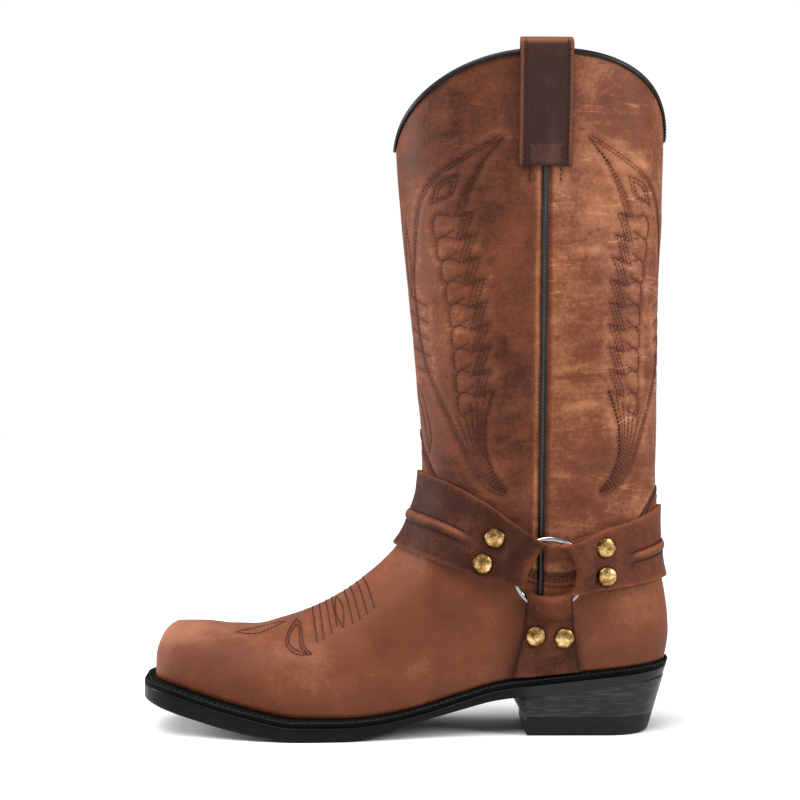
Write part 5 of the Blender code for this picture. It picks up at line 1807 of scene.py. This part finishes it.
def build_side_strap(side):
    """The strap from the ring down to the welt."""
    middle = smooth_curve(SIDE_STRAP["z"], SIDE_STRAP["middle"])
    half = smooth_curve(SIDE_STRAP["z"], SIDE_STRAP["half"])

    def layer(name, out):
        rows = []
        for z in layer_stations(SIDE_LAY, name):
            x = middle(z) + SIDE_COLUMNS * half(z)
            rows.append(side_run(x, np.maximum(z, feather_z(x) + SIDE_STRAP_FOOT), side, out))
        return rows

    rows = layer("under", STRAP_LOW)
    rows += fold_rows(side, SIDE_LAY, SIDE_COLUMNS, SIDE_STRAP["half"][0])
    rows = softened(rows + layer("over", STRAP_HIGH) + layer("single", STRAP_LOW))
    away = ring_distance(rows)
    # Painted shadow at the strap's side edges away from the ring; paler overall, and paler toward the fold
    # round the ring, pulled pale and painted highlight
    rim = smooth_step(0.9, 1.0, np.abs(SIDE_COLUMNS))[None, :]
    worn = 0.08 + 0.26 * smooth_step(19.0, 12.0, away)
    bm = grid_mesh(rows, worn=worn, shade=0.4 * rim * smooth_step(14.0, 22.0, away))
    name = SIDE_NAMES[side]
    finishes = (STRAP_BROWN, STRAP_EDGE)
    made = piece(f"ring_tab_{name}", bm, finishes, "strap_leather", f"side_strap_{name}")
    return thick_leather(made, STRAP_THICKNESS, STRAP_EDGE_ROUND)


def bead_runs(rows, place):
    """The two rows of stitches along a strap's bead."""
    far = ring_distance(rows)
    top = rows + outward_normals(rows) * STRAP_THICKNESS
    halfway = len(rows) // 2
    runs = []
    for groove in (-BEAD_GROOVE_AT, BEAD_GROOVE_AT):
        column = int(np.argmin(np.abs(BAND_COLUMNS - place - groove)))
        near = np.flatnonzero(far[:, column] < BEAD_STITCH_START)
        runs.append(top[near[near < halfway].max():near[near > halfway].min(), column])
    return runs


RING_SEGMENTS = 72
WIRE_SEGMENTS = 16


def spun(bm, steps):
    """A profile turned once round the Z axis."""
    bmesh.ops.spin(
        bm, geom=bm.verts[:] + bm.edges[:], axis=(0.0, 0.0, 1.0), cent=(0.0, 0.0, 0.0),
        angle=2 * math.pi, steps=steps, use_merge=True,
    )
    return welded(bm)


def set_facing(bm, place, normal):
    """The mesh moved to a place, with its Z axis along a normal."""
    face = Vector(normal).to_track_quat("Z", "Y").to_matrix().to_4x4()
    bm.transform(Matrix.Translation(place) @ face)
    return bm


def build_ring(side):
    """A welded steel ring, turned from a circle of wire."""
    centre, normal = ring_frame(side)
    bm = bmesh.new()
    stand = Matrix.Translation((RING_RADIUS * MM, 0.0, 0.0)) @ Matrix.Rotation(math.pi / 2, 4, "X")
    bmesh.ops.create_circle(bm, segments=WIRE_SEGMENTS, radius=RING_WIRE_RADIUS * MM, matrix=stand)
    bm = set_facing(turned_out(spun(bm, RING_SEGMENTS)), Vector(centre) * MM, normal)
    name = SIDE_NAMES[side]
    return piece(f"steel_ring_{name}", bm, (STEEL,), "steel", f"ring_{name}")


# Profile of a rivet cap: share of its radius and of its height, from its flat back to the top
RIVET_PROFILE = (
    (0.0, -0.25), (0.90, -0.25), (0.97, -0.05), (1.0, 0.22), (0.985, 0.40), (0.93, 0.55), (0.84, 0.68),
    (0.70, 0.80), (0.52, 0.90), (0.30, 0.97), (0.12, 1.0), (0.0, 1.0),
)
RIVET_STEPS = 28
RIVET_DENT = 0.16
RIVET_DENT_SCALE = 0.4
RIVET_DARK_RIM = (0.72, 0.98)
RIVET_SIDE_SHIFT = 7.0
RIVET_PROBE = 12.0


def build_rivet(name, side, surface):
    """A domed rivet cap, a little dented, sitting on the strap below it."""
    x, z = RIVETS[name]
    out = STRAP_HIGH + STRAP_THICKNESS
    seat, normal = side_points(np.array([x]), np.array([z]), side, np.array([out]))
    place, _, _, _ = surface.ray_cast(Vector(seat[0] + RIVET_PROBE * normal[0]) * MM, -Vector(normal[0]))
    radius = RIVET_RADIUS * MM
    height = RIVET_HEIGHT * MM
    bm = bmesh.new()
    verts = [bm.verts.new((share * radius, 0.0, rise * height)) for share, rise in RIVET_PROFILE]
    for first, second in zip(verts, verts[1:]):
        bm.edges.new((first, second))
    spun(bm, RIVET_STEPS)
    shift = Vector((x, z, RIVET_SIDE_SHIFT * side))
    for vert in bm.verts:
        if vert.co.z > 0:
            vert.co.z += RIVET_DENT * MM * noise.noise(vert.co / MM * RIVET_DENT_SCALE + shift)
    rim = bm.verts.layers.float.new("shade")
    for vert in bm.verts:
        vert[rim] = float(smooth_step(*RIVET_DARK_RIM, math.hypot(vert.co.x, vert.co.y) / radius))
    bm = set_facing(turned_out(bm), place, normal[0])
    whole = f"{name}_{SIDE_NAMES[side]}"
    return piece(f"brass_rivet_{whole}", bm, (BRASS,), "brass", f"rivet_{whole}")


VAMP_EDGE_DROPS = (1.0, 2.3, 5.6)
VAMP_EDGE_POINTS = 361
HEEL_STRAP_RUB = 0.18


def vamp_edge_runs():
    """Three rows of stitches below the edge of the vamp and the counter."""
    turns = np.linspace(0.0, 2 * math.pi, VAMP_EDGE_POINTS)
    edge = ring_values(VAMP_EDGE_RING)
    runs = []
    for drop in VAMP_EDGE_DROPS:
        lower = {**edge, "front": edge["front"] - drop, "back": edge["back"] - drop}
        runs.append(ring_points(angles=turns, **lower))
    return runs


def build_sewn_upper():
    """The upper with its stitched patterns, which are pressed into it."""
    lines, tail = wing_lines()
    wings = {}
    tails = []
    for side in SIDES:
        for panel, mirrored in (("front", False), ("back", True)):
            wings[f"{panel}_{SIDE_NAMES[side]}"] = on_leg(lines, side, mirrored)
            tails += on_leg(tail, side, mirrored)
    vamp = vamp_lines()
    edges = vamp_edge_runs() + [run for side in SIDES for run in shaft_tack_runs(side)]
    wing_runs = [run for runs in wings.values() for run in runs]
    skin = surface_of(build_upper(wing_runs + tails + vamp + edges))

    def sew_rows(name, runs, **thread):
        return sew(name, skin, runs, BROWN_THREAD, "upper_leather", **thread)

    for name, runs in wings.items():
        sew_rows(f"wing_stitching_{name}", runs, pitch=2.2, thread_width=0.52)
    sew_rows("wing_tail_stitching", tails, pitch=2.2, thread_width=0.85)
    sew_rows("vamp_stitching", vamp, pitch=1.9, thread_width=0.85, cover=0.92)
    sew_rows("edge_stitching", edges, pitch=2.4, thread_width=0.8)


def build_harness():
    front, front_rows = build_band("instep_strap", FRONT_STRAP, FRONT_LAY, "front_strap", 0.0)
    heel, heel_rows = build_band("counter_strap", HEEL_STRAP, HEEL_LAY, "heel_strap", HEEL_STRAP_RUB)
    carriers = {"front": surface_of(front), "heel": surface_of(heel)}
    for name, carrier, runs in (("instep", "front", front_rows), ("counter", "heel", heel_rows)):
        sew(
            f"{name}_strap_stitching", carriers[carrier], runs, BROWN_THREAD, "strap_leather",
            pitch=2.8, thread_width=0.75,
        )
    for side in SIDES:
        carriers["side"] = surface_of(build_side_strap(side))
        build_ring(side)
        for name in RIVETS:
            build_rivet(name, side, carriers[name.split("_")[0]])


def build_boot():
    build_sewn_upper()
    build_insole()
    welt = surface_of(build_welt())
    welt_runs = [welt_stitch_run()]
    sew("welt_stitching", welt, welt_runs, BLACK_THREAD, "welt", pitch=3.4, thread_width=1.3, cover=0.86)
    build_outsole()
    build_heel_stack()
    build_heel_cap()
    binding = surface_of(build_collar_binding())
    binding_runs = [binding_stitch_run()]
    sew("binding_stitching", binding, binding_runs, BLACK_THREAD, "black_trim", pitch=2.2, thread_width=0.5)
    for side in SIDES:
        build_side_piping(side)
        loop = surface_of(build_pull_strap(side))
        name = f"pull_loop_stitching_{SIDE_NAMES[side]}"
        sew(
            name, loop, pull_strap_runs(side), BROWN_THREAD, "pull_strap_leather",
            pitch=3.2, thread_width=0.95, cover=0.74,
        )
    build_harness()


# Floor, light and camera
CAMERA_PLACE = (-3.9, -1050.0, 190.7)
CAMERA_LENS = 80.8
SENSOR_WIDTH = 36.0
FLOOR_HALF = 8.0
OVERHEAD_LIGHT = 4.6
OVERHEAD_SPREAD = 55.0
OVERHEAD_PLACE = (-500.0, -700.0, 1600.0)
ROOM_LIGHT = 0.5
# Soft lamps: place, what each is aimed at, breadth and power
SOFT_LAMPS = {
    "toe light": ((-1100.0, 60.0, 420.0), (0.0, 0.0, 210.0), 500.0, 14.0),
    "heel light": ((1000.0, -550.0, 600.0), (80.0, 0.0, 220.0), 500.0, 12.0),
}


def hung(name, lamp, place, target):
    """A lamp hung at a place and aimed at another."""
    holder = linked(name, lamp)
    holder.location = Vector(place) * MM
    holder.rotation_euler = (Vector(target) * MM - holder.location).to_track_quat("-Z", "Y").to_euler()


def build_backdrop():
    """A white backdrop that lights the boot less than it shows."""
    world = bpy.data.worlds.new("white studio")
    world.use_nodes = True
    tree = world.node_tree
    shown = tree.nodes["Background"]
    shown.inputs["Color"].default_value = (1.0, 1.0, 1.0, 1.0)
    room = tree.nodes.new("ShaderNodeBackground")
    room.inputs["Color"].default_value = (ROOM_LIGHT, ROOM_LIGHT, ROOM_LIGHT, 1.0)
    path = tree.nodes.new("ShaderNodeLightPath")
    mix = tree.nodes.new("ShaderNodeMixShader")
    tree.links.new(path.outputs["Is Camera Ray"], mix.inputs[0])
    tree.links.new(room.outputs[0], mix.inputs[1])
    tree.links.new(shown.outputs[0], mix.inputs[2])
    tree.links.new(mix.outputs[0], tree.nodes["World Output"].inputs["Surface"])
    bpy.context.scene.world = world


def build_studio():
    bm = bmesh.new()
    bmesh.ops.create_grid(bm, x_segments=1, y_segments=1, size=FLOOR_HALF)
    mesh = mesh_of("floor", bm)
    mesh.materials.append(white_ground())
    floor = linked("floor", mesh)

    build_backdrop()
    bpy.context.scene.view_settings.view_transform = "Standard"
    sun = bpy.data.lights.new("overhead light", "SUN")
    sun.energy = OVERHEAD_LIGHT
    sun.angle = math.radians(OVERHEAD_SPREAD)
    hung("overhead light", sun, OVERHEAD_PLACE, (0.0, 0.0, 0.0))
    for name, (place, target, breadth, power) in SOFT_LAMPS.items():
        lamp = bpy.data.lights.new(name, "AREA")
        lamp.shape = "DISK"
        lamp.size = breadth * MM
        lamp.energy = power
        hung(name, lamp, place, target)

    lens = bpy.data.cameras.new("camera")
    lens.lens = CAMERA_LENS
    lens.sensor_width = SENSOR_WIDTH
    camera = linked("camera", lens)
    camera.location = Vector(CAMERA_PLACE) * MM
    camera.rotation_euler = (math.pi / 2, 0.0, 0.0)
    bpy.context.scene.camera = camera


build_boot()
build_studio()
